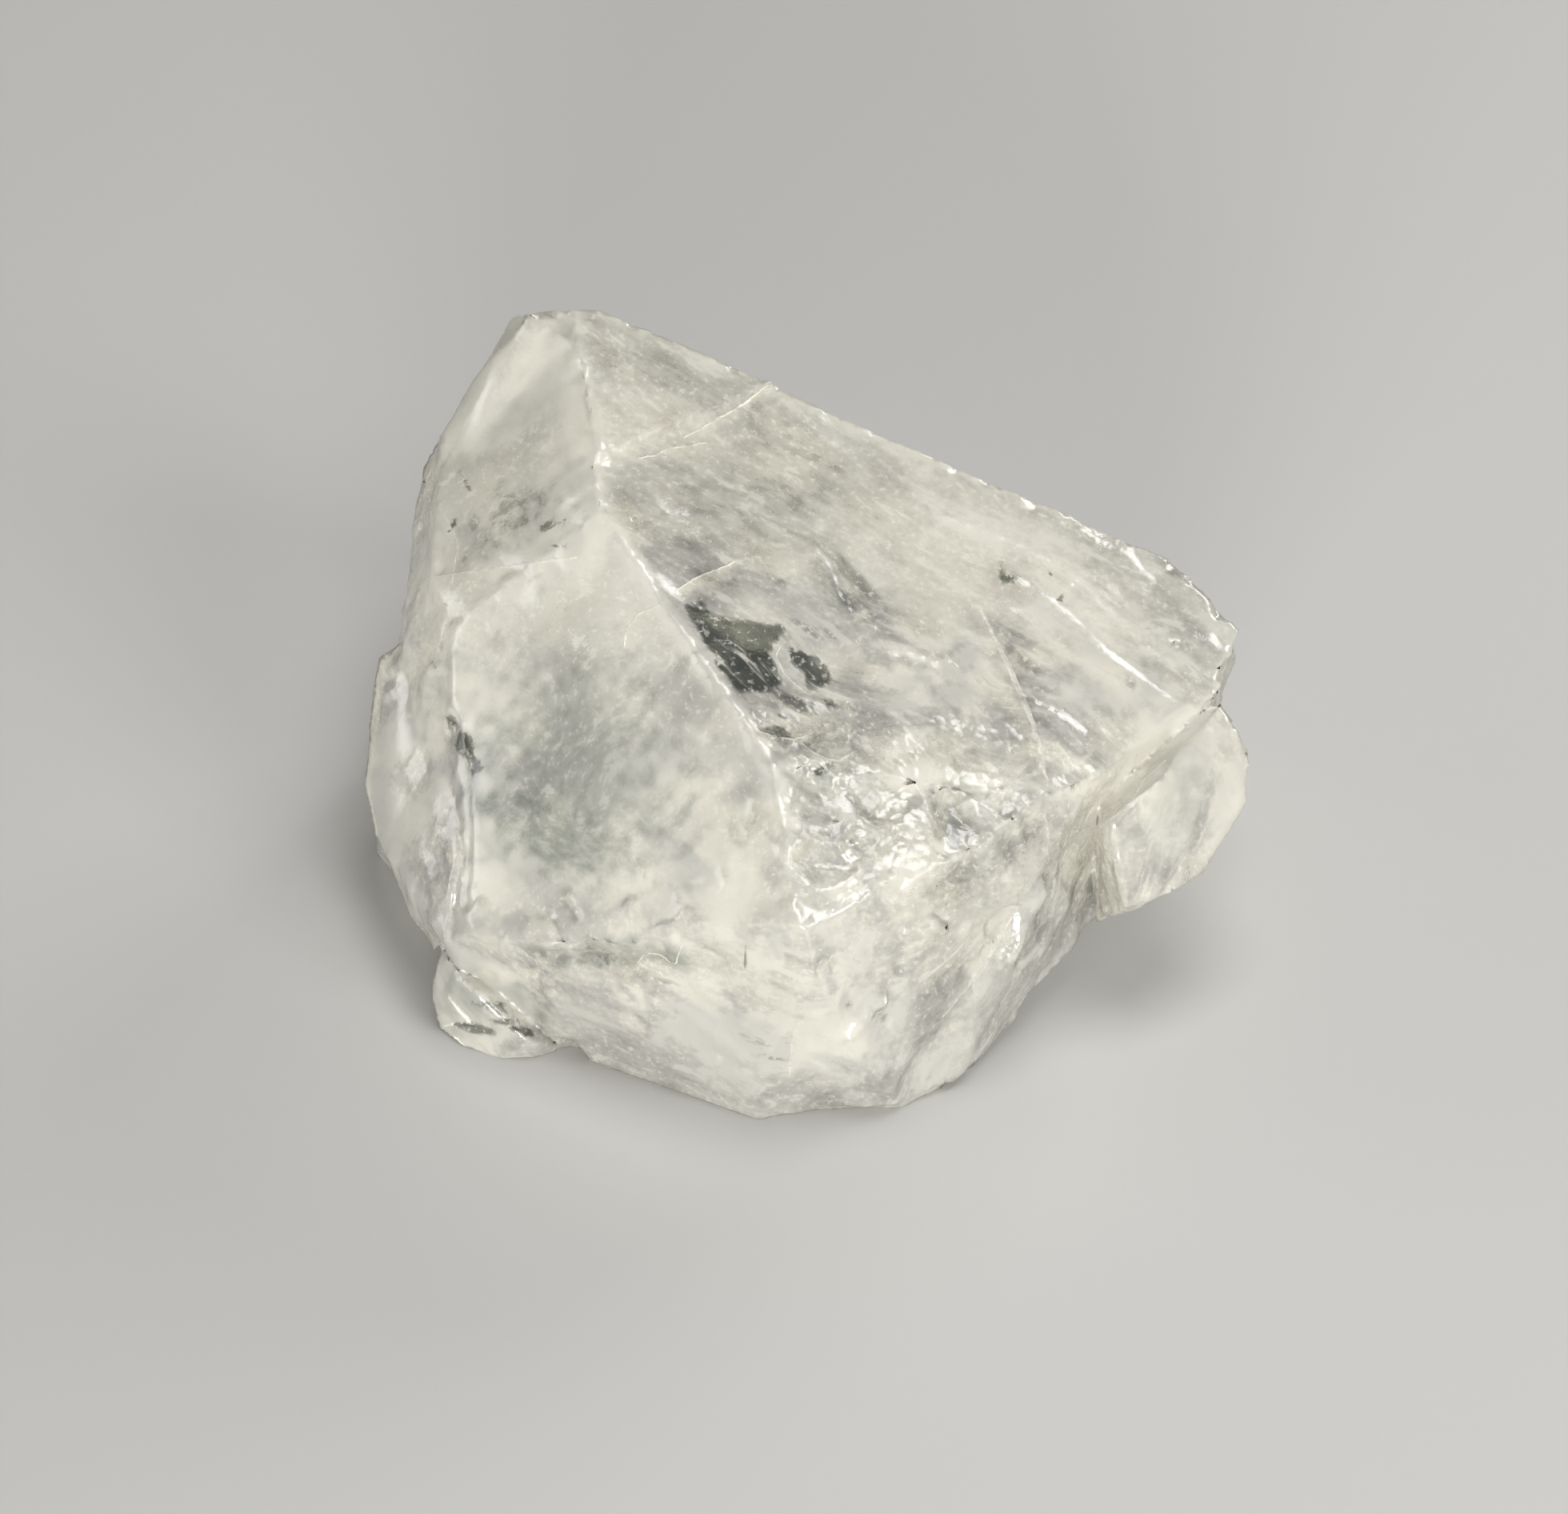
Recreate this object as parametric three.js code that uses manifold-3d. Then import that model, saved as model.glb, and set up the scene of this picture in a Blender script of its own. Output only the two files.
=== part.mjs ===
// A rough, colourless topaz: one broken crystal fragment, about 40 mm across.
// Millimetres, +Z up. The fragment rests on its cleavage face, which lies on z = 0.
import * as THREE from "three";
import { ConvexGeometry } from "three/addons/geometries/ConvexGeometry.js";
import { mergeVertices } from "three/addons/utils/BufferGeometryUtils.js";
import Module from "manifold-3d";

const wasm = await Module();
wasm.setup();

// ---- Driving dimensions ----

const BLOCK = 120; // side of the block that the faces are cleaved from
const UP = new THREE.Vector3(0, 0, 1);
const HEART = new THREE.Vector3(0, 0, 9); // a point well inside, which tells outside from inside

// The fragment's main corners, in mm. x runs to the right, y away from the front, z up.
const CORNER = {
  ridgeTop: [-10.5, 11.6, 22.5],
  ridgeKink: [-9.1, 2.6, 20.4],
  ridgeFoot: [-1.5, -9.4, 16.4],
  shoulder: [11.2, -9.1, 13.3],
  backRight: [15.5, 5.9, 15.0],
  ledgeRight: [-0.3, -16.2, 11.8],
  ledgeLeft: [-15.5, -9.8, 5.7],
  bevelKink: [-13.6, 10.9, 19.7],
  footMiddle: [-2.1, -15.1, 0],
  footRight: [5.2, -14.0, 0],
  rightTipLow: [19.6, -4.8, 9.0],
};

// Lobes that stand out past the flat faces, each by its own corners. The last corner of each is
// buried in the stone.
const SUMMIT = [
  [-9.6, 13.5, 22.4],
  [-12.4, 13.3, 22.7],
  [-13.2, 13.4, 22.0],
  [-14.6, 13.2, 20.3],
  [-15.9, 12.6, 18.3],
  [-17.2, 11.0, 15.9],
  [-17.6, 8.5, 13.6],
  CORNER.ridgeTop,
  CORNER.bevelKink,
  [-16.5, 9.4, 16.7],
  [-14.0, 10.0, 12.0],
];
const LEFT_LOBE = [
  [-18.4, 4.6, 10.7],
  [-19.3, 4.5, 10.0],
  [-19.7, 3.2, 8.1],
  [-19.9, 0.7, 5.7],
  [-19.6, -1.2, 4.6],
  [-18.8, -2.6, 3.9],
  [-17.7, -4.6, 2.6],
  [-16.7, -6.3, 1.9],
  [-16.7, 4.6, 12.0],
  [-16.1, 0, 11.2],
  [-15.4, -3.9, 9.3],
  [-15.4, -6.5, 7.8],
  [-16.0, -9.2, 5.1],
  [-12.0, 0, 3.0],
];
const FOOT_LOBE = [
  [-16.4, -9.3, 0],
  [-15.4, -10.4, 0],
  [-13.6, -11.2, 0],
  [-12.1, -11.1, 0],
  [-10.8, -10.6, 0],
  [-16.9, -8.6, 1.0],
  [-16.8, -8.1, 2.2],
  [-16.5, -7.8, 3.6],
  [-14.6, -10.6, 3.6],
  [-12.4, -11.6, 1.6],
  [-11.0, -6.0, 0],
];
const RIGHT_LOBE = [
  [18.4, -1.6, 12.7],
  [19.1, -2.7, 11.9],
  [19.7, -3.6, 11.0],
  [19.6, -4.8, 9.7],
  [18.7, -6.2, 8.7],
  [17.5, -7.5, 7.7],
  [16.1, -8.4, 7.3],
  [14.1, -9.0, 7.3],
  [13.3, -8.1, 11.4],
  [15.4, -6.7, 12.7],
  [16.9, -4.2, 12.8],
  [13.0, -6.5, 4.0],
  [16.0, -2.5, 4.5],
  [12.0, -2.0, 9.0],
];

// ---- Solids from three.js geometry ----

function solidFrom(geometry) {
  const bare = geometry.index ? geometry.toNonIndexed() : geometry.clone();
  for (const name of Object.keys(bare.attributes)) {
    if (name !== "position") bare.deleteAttribute(name);
  }
  const merged = mergeVertices(bare, 1e-4);
  const corners = merged.index.array;
  const kept = [];
  for (let i = 0; i < corners.length; i += 3) {
    const [a, b, c] = [corners[i], corners[i + 1], corners[i + 2]];
    if (a !== b && b !== c && a !== c) kept.push(a, b, c);
  }
  return new wasm.Manifold(
    new wasm.Mesh({
      numProp: 3,
      vertProperties: merged.attributes.position.array,
      triVerts: new Uint32Array(kept),
    }),
  );
}

function geometryFrom(solid) {
  const mesh = solid.getMesh();
  const geometry = new THREE.BufferGeometry();
  geometry.setAttribute("position", new THREE.BufferAttribute(mesh.vertProperties, 3));
  geometry.setIndex(new THREE.BufferAttribute(mesh.triVerts, 1));
  geometry.computeVertexNormals();
  return geometry;
}

// ---- Cleaving ----

// The plane through three corners, facing out.
function through(...names) {
  const points = names.map((name) => new THREE.Vector3(...CORNER[name]));
  const plane = new THREE.Plane().setFromCoplanarPoints(...points);
  if (plane.distanceToPoint(HEART) > 0) plane.negate();
  return plane;
}

// The plane that faces a direction, at a distance from the origin.
function facing(direction, distance) {
  return new THREE.Plane(new THREE.Vector3(...direction).normalize(), -distance);
}

// The waste beyond a plane: a block with one side on it.
function beyond(plane) {
  const block = new THREE.BoxGeometry(BLOCK, BLOCK, BLOCK).translate(0, 0, BLOCK / 2);
  block.applyQuaternion(new THREE.Quaternion().setFromUnitVectors(UP, plane.normal));
  block.translate(...plane.normal.clone().multiplyScalar(-plane.constant));
  return solidFrom(block);
}

function lobe(corners) {
  return solidFrom(new ConvexGeometry(corners.map((corner) => new THREE.Vector3(...corner))));
}

// ---- Breaks ----

// Turns a shape that stands along +Z to stand along a direction, and moves it to a middle.
function place(geometry, direction, middle) {
  geometry.applyQuaternion(new THREE.Quaternion().setFromUnitVectors(UP, direction));
  return solidFrom(geometry.translate(...middle));
}

// The point of a face that is nearest to a place, raised along the face's direction.
function onFace(face, place, raise) {
  const point = face.projectPoint(new THREE.Vector3(...place), new THREE.Vector3());
  return point.addScaledVector(face.normal, raise);
}

// A conchoidal scar: a shallow dish with rings round the point where the blow fell.
const RING_STEPS = 3; // steps of the profile to a ring
const SPOKES = 26; // steps round the dish
const RING_HEIGHT = 0.11; // of the dish's depth
const LID = 6; // height of the waste above the dish
function scar([face, blow, radius, depth, rings]) {
  const steps = rings * RING_STEPS;
  const profile = Array.from({ length: steps + 1 }, (_, i) => {
    const reach = i / steps;
    const ring = RING_HEIGHT * Math.cos(2 * Math.PI * rings * reach) * reach;
    return new THREE.Vector2(radius * reach, depth * (reach * reach - 1 + ring));
  });
  profile.push(new THREE.Vector2(radius, LID), new THREE.Vector2(0, LID));
  const dish = new THREE.LatheGeometry(profile, SPOKES).rotateX(Math.PI / 2);
  return place(dish, face.normal, onFace(face, blow, 0));
}

// A ball of twenty facets that lies along a face. As waste it bites a pit, and as stone it
// raises a swelling. Each is turned by its own angle, so that no two break alike.
function ball(face, middle, halfWidths) {
  const turn = middle.x + 2 * middle.y + 3 * middle.z;
  const facets = new THREE.IcosahedronGeometry(1, 0).rotateX(turn).rotateY(2 * turn);
  return place(facets.scale(...halfWidths), face.normal, middle);
}

function pit([face, middle, halfWidths, depth]) {
  return ball(face, onFace(face, middle, halfWidths[2] - depth), halfWidths);
}

function swelling([face, middle, halfWidths, height]) {
  return ball(face, onFace(face, middle, height - halfWidths[2]), halfWidths);
}

// Chips of unlike sizes along an edge, each bitten by a ball whose middle is off the edge.
const GOLDEN = 0.618; // steps by this share of a whole never fall into a pattern
function chipsAlong([from, to, look, count, size, bite]) {
  const start = new THREE.Vector3(...from);
  const edge = facing(look, 0);
  return Array.from({ length: count }, (_, i) => {
    const chance = ((i + 1) * GOLDEN) % 1;
    const radius = size * (0.6 + 0.8 * chance);
    const middle = start.clone().lerp(new THREE.Vector3(...to), (i + 0.3 + 0.5 * chance) / count);
    middle.addScaledVector(edge.normal, radius - bite * (0.5 + chance));
    return ball(edge, middle, [radius, radius * 1.2, radius]);
  });
}

// ---- The crystal ----

const TOP_LOOK = [0.237, -0.176, 0.955]; // the way the top face looks
const FACE = {
  // The smooth faces that meet along the main ridge.
  leftUpper: through("ridgeTop", "ridgeKink", "bevelKink"),
  left: through("ridgeKink", "ridgeFoot", "ledgeLeft"),
  top: facing(TOP_LOOK, 17.2),
  // The broken brow below the ridge, and the faces down to the foot.
  brow: through("ridgeFoot", "shoulder", "ledgeRight"),
  front: through("ledgeLeft", "ledgeRight", "footMiddle"),
  frontFoot: facing([-0.443, -0.886, -0.138], 14.3),
  frontRight: through("ledgeRight", "shoulder", "footRight"),
  rightFlank: through("shoulder", "rightTipLow", "footRight"),
  middleFoot: facing([0.03, -0.99, -0.08], 14.9),
  rightFoot: facing([0.74, -0.66, -0.1], 13.2),
  // The left side.
  leftEdge: facing([-0.99, 0.05, 0.1], 19.5),
  leftBevel: facing([-0.93, -0.1, 0.36], 20.4),
  leftSide: facing([-0.866, -0.32, 0.385], 18.75),
  leftUnder: facing([-0.84, -0.42, -0.34], 15.5),
  leftBack: facing([-0.75, 0.66, 0.02], 20.4),
  // The back and the right side.
  back: facing([0.1, 0.99, -0.1], 14.8),
  backTop: facing([0.369, 0.866, 0.337], 16.1),
  summitBack: facing([0, 0.75, 0.66], 25.3),
  backRight: facing([0.753, 0.645, 0.129], 18.0),
  rightSide: facing([0.96, -0.25, -0.15], 15.85),
  rightUnder: facing([0.66, -0.24, -0.71], 7.7),
  backUnder: facing([0.2, 0.75, -0.6], 9.5),
};
// The low ledge across the top face, with the summit standing above it.
const LEDGE = [facing(TOP_LOOK, 16.85), facing([0.6, -0.73, 0.33], -2.4)];

// Each scar: its face, where the blow fell, its radius, its depth and its rings.
const SCARS = [
  [FACE.rightFlank, [13.4, -8.4, 13.6], 6.0, 1.0, 4],
  [FACE.rightFlank, [7.4, -12.4, -1.0], 5.4, 0.5, 3],
  [FACE.rightFoot, [14.6, -6.4, 8.4], 8.0, 0.6, 4],
  [FACE.front, [-0.4, -16.4, 11.4], 8.4, 0.6, 4],
  [FACE.middleFoot, [2.4, -15.0, -1.0], 4.6, 0.6, 3],
  [FACE.leftSide, [-16.2, -6.6, 9.0], 6.4, 0.5, 3],
  [FACE.back, [4.0, 15.0, 20.0], 15.0, 1.9, 5],
  [FACE.backUnder, [8.0, 14.0, 1.0], 8.0, 1.0, 4],
  [FACE.backRight, [19.0, 6.0, 1.0], 9.5, 1.2, 4],
  [FACE.leftBack, [-13.0, 17.0, 3.0], 10.0, 1.4, 4],
];

// Each pit: its face, its middle, its half-widths with the last along the face, and its depth.
const PITS = [
  [FACE.brow, [0.4, -10.6, 15.6], [2.2, 2.6, 1.8], 0.6],
  [FACE.brow, [3.4, -10.2, 14.9], [2.8, 2.0, 2.0], 0.8],
  [FACE.brow, [6.4, -10.4, 13.9], [2.0, 2.8, 1.8], 0.7],
  [FACE.brow, [8.8, -9.0, 14.0], [2.4, 2.0, 1.7], 0.6],
  [FACE.brow, [0.8, -13.2, 14.0], [2.4, 1.8, 1.7], 0.7],
  [FACE.frontRight, [3.4, -13.6, 12.2], [2.2, 2.8, 1.8], 0.7],
  [FACE.frontRight, [6.6, -11.8, 12.0], [2.2, 2.2, 1.7], 0.6],
  [FACE.frontRight, [9.2, -10.0, 11.6], [1.8, 2.6, 1.7], 0.5],
  [FACE.frontRight, [1.4, -15.0, 9.4], [1.8, 2.8, 1.6], 0.6],
  [FACE.frontRight, [4.6, -13.2, 8.4], [2.2, 2.4, 1.7], 0.5],
  [FACE.frontRight, [6.6, -12.0, 5.6], [2.2, 3.2, 2.0], 0.5],
  // A groove under the ledge.
  [FACE.front, [-4.0, -14.9, 9.9], [4.4, 1.2, 1.2], 0.6],
  [FACE.front, [-9.6, -12.6, 7.4], [3.6, 1.0, 1.0], 0.5],
  // Bites out of the foot's rim, and the notch at the far right corner.
  [FACE.middleFoot, [1.5, -15.0, 0], [1.3, 1.2, 1.4], 0.6],
  [FACE.frontFoot, [-10.4, -11.0, 0], [1.1, 1.6, 1.4], 0.7],
  [FACE.rightFoot, [6.6, -12.6, 0], [1.2, 1.6, 1.4], 0.6],
  [FACE.rightSide, [18.6, 0.2, 12.8], [1.2, 1.8, 1.2], 0.5],
  [FACE.top, [17.0, 1.4, 13.6], [2.2, 1.6, 2.0], 0.6],
];

// Each swelling: its face, its middle, its half-widths and its height.
const SWELLINGS = [
  [FACE.brow, [2.8, -11.8, 14.4], [2.0, 1.2, 1.4], 0.45],
  [FACE.brow, [6.0, -10.6, 13.9], [1.3, 1.9, 1.3], 0.4],
  [FACE.frontRight, [4.8, -12.4, 9.6], [2.0, 1.4, 1.5], 0.4],
  [FACE.frontRight, [2.4, -14.2, 6.0], [1.6, 2.6, 1.8], 0.4],
  [FACE.rightFlank, [9.6, -11.4, 7.6], [1.6, 3.6, 2.0], 0.5],
  [FACE.leftSide, [-17.6, 1.0, 9.0], [2.4, 3.6, 2.4], 0.4],
  [FACE.back, [-3.0, 15.4, 8.0], [4.6, 3.4, 3.0], 0.6],
];

// Each chipped edge: its two ends, the way it looks, and its chips' count, radius and bite.
const CHIPPED_EDGES = [
  [[-8.5, 13.4, 22.4], [15.3, 6.1, 15.3], [0.3, 0.4, 0.86], 13, 1.6, 0.16],
  [[15.8, 5.6, 15.0], [18.6, 2.6, 13.7], [0.6, 0.5, 0.6], 3, 1.0, 0.2],
  [[-17.6, 8.5, 13.6], [-18.2, 5.0, 12.0], [-0.9, 0, 0.2], 2, 0.9, 0.25],
  [[-10.5, -11.4, 0.4], [-2.6, -15.0, 0.4], [-0.4, -0.9, -0.1], 6, 1.1, 0.25],
  [[7.4, -12.4, 0.8], [13.4, -7.2, 5.6], [0.7, -0.5, -0.5], 7, 1.2, 0.3],
  [[11.2, -9.1, 12.6], [5.4, -13.9, 1.0], [0.15, -0.98, 0.1], 7, 1.3, 0.3],
  [[-14.5, -10.3, 6.1], [-1.2, -15.9, 11.4], [-0.45, -0.72, 0.5], 7, 1.2, 0.2],
];

// The block is cleaved and scarred, its lobes are joined on, and the smaller breaks come last.
let crystal = solidFrom(new THREE.BoxGeometry(BLOCK, BLOCK, BLOCK / 2).translate(0, 0, BLOCK / 4));
for (const face of Object.values(FACE)) crystal = crystal.subtract(beyond(face));
crystal = crystal.subtract(LEDGE.map(beyond).reduce((both, next) => both.intersect(next)));
for (const waste of SCARS.map(scar)) crystal = crystal.subtract(waste);
for (const corners of [SUMMIT, LEFT_LOBE, FOOT_LOBE, RIGHT_LOBE]) crystal = crystal.add(lobe(corners));
for (const stone of SWELLINGS.map(swelling)) crystal = crystal.add(stone);
for (const waste of [...PITS.map(pit), ...CHIPPED_EDGES.flatMap(chipsAlong)]) {
  crystal = crystal.subtract(waste);
}
crystal = crystal.subtract(beyond(facing([0, 0, -1], 0)));

// ---- The part ----

// The middle of the base comes to the origin.
const surface = geometryFrom(crystal);
surface.computeBoundingBox();
const middle = surface.boundingBox.getCenter(new THREE.Vector3());
surface.translate(-middle.x, -middle.y, 0);
const topaz = new THREE.MeshStandardMaterial({ color: 0xe4e2da, roughness: 0.2, metalness: 0 });
const stone = new THREE.Mesh(surface, topaz);
stone.name = "topaz_crystal";

const part = new THREE.Group();
part.add(stone);
export default part;
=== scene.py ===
# %% [markdown]
# # A rough, colourless topaz
#
# Topaz grows as stout prisms in gas pockets of granite. It cleaves flat across the prism as
# cleanly as a split slate, and everywhere else it breaks like thick glass, in shells, ribs and
# splinters. This piece is one broken end of such a crystal, about 40 mm across.
#
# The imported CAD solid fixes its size, its faces and its outline. This lesson gives that solid
# the skin of a broken crystal and the finish of clear and clouded topaz. First it loads the
# solid, and it keeps the box that nothing may grow out of.

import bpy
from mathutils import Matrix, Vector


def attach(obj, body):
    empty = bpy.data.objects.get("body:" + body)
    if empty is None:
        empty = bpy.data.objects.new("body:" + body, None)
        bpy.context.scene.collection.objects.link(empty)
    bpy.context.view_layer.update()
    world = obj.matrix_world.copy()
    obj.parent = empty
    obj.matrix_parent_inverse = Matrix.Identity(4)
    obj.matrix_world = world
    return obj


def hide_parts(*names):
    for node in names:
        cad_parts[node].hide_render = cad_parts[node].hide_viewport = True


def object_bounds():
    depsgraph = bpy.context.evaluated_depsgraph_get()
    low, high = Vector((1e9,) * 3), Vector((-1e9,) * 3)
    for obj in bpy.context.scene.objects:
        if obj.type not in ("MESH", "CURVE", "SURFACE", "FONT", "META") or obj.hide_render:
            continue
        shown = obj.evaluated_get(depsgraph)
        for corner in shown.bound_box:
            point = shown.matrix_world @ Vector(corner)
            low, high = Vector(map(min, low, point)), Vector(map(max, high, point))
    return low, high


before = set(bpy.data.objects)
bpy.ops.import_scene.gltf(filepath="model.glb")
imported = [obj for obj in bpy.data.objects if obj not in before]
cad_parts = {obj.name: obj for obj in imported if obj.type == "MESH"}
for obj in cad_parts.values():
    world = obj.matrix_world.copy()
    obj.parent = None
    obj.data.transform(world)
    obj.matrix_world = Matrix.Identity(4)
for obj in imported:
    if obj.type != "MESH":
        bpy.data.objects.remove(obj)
cad_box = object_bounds()
print("CAD box in metres:", cad_box)

# %% Tools and units
import math

import bpy
import numpy as np
from mathutils import Vector
from mathutils.bvhtree import BVHTree

MM = 0.001  # Blender works in metres, and the numbers of this lesson are in millimetres
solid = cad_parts["topaz_crystal"]
collection = bpy.context.scene.collection
print("the solid is", [round(side / MM, 2) for side in solid.dimensions], "mm long, deep and high")

# %% [markdown]
# ## An even skin
#
# The solid's mesh is made of long, uneven triangles, which can't carry fine relief. It could be
# subdivided, but slivers stay slivers. A remesh wraps a copy of it in small squares of one size
# instead, so that every square millimetre has the same number of vertices to move. Its sharp
# mode keeps the crisp ridges of a cleaved stone, where a voxel remesh would round them. The
# loose triangles are welded first, because the remesh needs a closed shape.

# %% The remeshed copy
SQUARE = 0.222  # mm, the side of a square of the skin, about a third of its smallest relief
OCTREE_DEPTH = 8  # the longest side is cut in half this many times, which makes 256 steps
WELD_GAP = 0.001  # mm, vertices nearer than this become one

blank = bpy.data.objects.new("blank", solid.data.copy())
collection.objects.link(blank)
weld = blank.modifiers.new("weld", "WELD")
weld.merge_threshold = WELD_GAP * MM
remesh = blank.modifiers.new("remesh", "REMESH")
remesh.mode = "SHARP"
remesh.octree_depth = OCTREE_DEPTH
remesh.scale = max(solid.dimensions) / (2 ** OCTREE_DEPTH * SQUARE * MM)
remesh.use_remove_disconnected = False
wrapped = blank.evaluated_get(bpy.context.evaluated_depsgraph_get())
skin = bpy.data.meshes.new_from_object(wrapped)
bpy.data.objects.remove(blank)
print(f"the solid's {len(solid.data.polygons)} triangles became squares of {SQUARE} mm")

# %% The skin as arrays
vertex_count = len(skin.vertices)
flat = np.empty(vertex_count * 3)
skin.vertices.foreach_get("co", flat)
points = flat.reshape(-1, 3) / MM
skin.vertices.foreach_get("normal", flat)
outward = flat.reshape(-1, 3).copy()
print("skin:", vertex_count, "vertices,", len(skin.polygons), "faces")

# %% [markdown]
# ## Fields that break like crystal
#
# Relief is a height for every point in space. Sine waves in many directions add up to soft,
# cloudy swells, as on a face that grew or dissolved unevenly. For splinters, space is split
# into irregular cells, and each cell gets a flat facet with its own tilt, so that neighbours
# meet in small cliffs. Shells are the same cells, each hollowed into a dish, as where flakes
# sprang off glass.

# %% Swells
WAVE_COUNT = 20  # sines in a swell, enough that no single one shows


def waves(at, length, seed):
    """Cloudy swells: the sum of sines of random direction, each sin(2 pi p.d / length + phase).

    The sum is divided by the root of half their number, so that it swings about one either way.
    """
    dice = np.random.default_rng(seed)
    directions = dice.normal(size=(WAVE_COUNT, 3))
    directions /= np.linalg.norm(directions, axis=1, keepdims=True)
    lengths = length * dice.uniform(0.6, 1.7, WAVE_COUNT)
    phases = dice.uniform(0.0, 2.0 * math.pi, WAVE_COUNT)
    angles = at @ (2.0 * math.pi * directions / lengths[:, None]).T + phases
    return np.sin(angles).sum(axis=1) / math.sqrt(0.5 * WAVE_COUNT)


sample_swell = waves(points, 5.0, 1)
print(f"a swell of 5 mm runs from {sample_swell.min():.1f} to {sample_swell.max():.1f}")

# %% Splinters and shells
STIR = np.array([127.1, 311.7, 74.7])  # any uneven numbers would do: they only mix the corners up
SEED_STIR = 17.3
SPREAD_OUT = 43758.5453


def chance(corner, seed):
    """A number from 0 to 1 for each lattice corner: the fraction of a large multiple of a sine."""
    angle = corner @ STIR + SEED_STIR * seed
    return np.modf(np.abs(np.sin(angle)) * SPREAD_OUT)[0]


def nearest_seed(at, size, seed):
    """Irregular cells: the seeds are lattice corners, each moved by chance.

    Returns the way from the nearest seed, in cell sizes, and that seed's lattice corner.
    """
    scaled = at / size
    corner = np.floor(scaled)
    nearest = np.full(len(at), np.inf)
    away = np.zeros_like(at)
    home = np.zeros_like(at)
    for step in np.ndindex(3, 3, 3):
        cell = corner + np.array(step) - 1.0
        jitter = np.stack([chance(cell, seed + k) for k in range(3)], axis=1)
        reach = scaled - (cell + jitter)
        distance = (reach * reach).sum(axis=1)
        closer = distance < nearest
        nearest = np.where(closer, distance, nearest)
        away = np.where(closer[:, None], reach, away)
        home = np.where(closer[:, None], cell, home)
    return away, home


def splinters(at, size, seed):
    """Tilted facets, in cell sizes: each cell is a plane, height = slope . (way from the seed)."""
    away, home = nearest_seed(at, size, seed)
    slope = np.stack([chance(home, seed + 3 + k) - 0.5 for k in range(3)], axis=1)
    return (away * slope).sum(axis=1)


def shells(at, size, seed):
    """Shallow dishes that meet in sharp ridges: height = the squared distance from the nearest seed.

    A quarter is taken off, which brings the mean height close to nought.
    """
    away, _ = nearest_seed(at, size, seed)
    return (away * away).sum(axis=1) - 0.25


def layers(field, at, rows):
    """Fields on top of one another: the sum of height times field, for rows of height, size and seed."""
    return sum(height * field(at, size, seed) for height, size, seed in rows)


sample_shells = shells(points, 5.0, 1)
print(f"shells of 5 mm run from {sample_shells.min():.2f} to {sample_shells.max():.2f}")

# %% [markdown]
# ## Which face is where
#
# Each natural face breaks in its own way, so each needs its own relief. A face is a plane, and
# a vertex belongs to it by its distance from that plane: full at the plane, and nothing a
# little way off. That gives soft masks with no painting. The same planes tell how deep inside
# the stone a point lies, which the cracks inside need later, and how near it is to an edge.

# %% The planes of the faces
FACES = {
    # name: (the way it looks, its distance from the origin in mm)
    "left_upper": ((-0.611, -0.269, 0.744), 20.24),
    "left": ((-0.500, -0.542, 0.675), 17.37),
    "top": ((0.237, -0.176, 0.955), 17.04),
    "summit": ((0.237, -0.176, 0.955), 17.39),
    "brow": ((0.214, -0.521, 0.826), 18.63),
    "front": ((-0.378, -0.925, -0.029), 15.59),
    "front_right": ((0.516, -0.853, 0.081), 15.47),
    "right_foot": ((0.743, -0.662, -0.100), 13.89),
    "right_side": ((0.957, -0.249, -0.150), 16.18),
    "right_under": ((0.661, -0.240, -0.711), 7.99),
    "left_side": ((-0.866, -0.320, 0.385), 18.96),
    "left_under": ((-0.841, -0.421, -0.340), 15.81),
    "left_back": ((-0.751, 0.660, 0.020), 18.60),
    "back": ((0.100, 0.990, -0.100), 12.50),
    "back_top": ((0.369, 0.866, 0.337), 15.33),
    "back_right": ((0.753, 0.645, 0.129), 16.60),
    "back_under": ((0.204, 0.764, -0.612), 8.00),
    "base": ((0.0, 0.0, -1.0), 0.0),
}


def smooth(value):
    """The smooth step from 0 to 1: three squares less two cubes of the value, kept within 0 to 1."""
    kept = np.clip(value, 0.0, 1.0)
    return kept * kept * (3.0 - 2.0 * kept)


def depth_below(face, at):
    """How far points lie below a face, in mm: its distance from the origin, less look . p."""
    look, distance = FACES[face]
    return distance - at @ np.array(look)


def near(face, reach):
    """A mask: one at the face, falling to nought at 1.5 times `reach` mm from it."""
    return smooth(1.5 - np.abs(depth_below(face, points)) / reach)


print(len(FACES), "planes shape the stone")

# %% The clean faces: two frosted ones, the top and the base
CLEAN_REACH = 0.3  # mm, how far the skin of a clean face strays from its plane
FRAY_WIDTH = 1.2  # mm, how far the breaks eat into the frosted faces at their border
FRAY_LEAD = 0.4  # mm, by how much less they do so along the front
FRAY_TOP = 15.5  # mm above the base, where the ridge starts, which is crisp
LEDGE_LOOK = np.array((0.6, -0.73, 0.33))  # the low cliff between the summit and the rest of the top
LEDGE_DISTANCE = 1.8  # mm from the origin to that cliff
LEDGE_BLEND = 0.3  # mm

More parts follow.
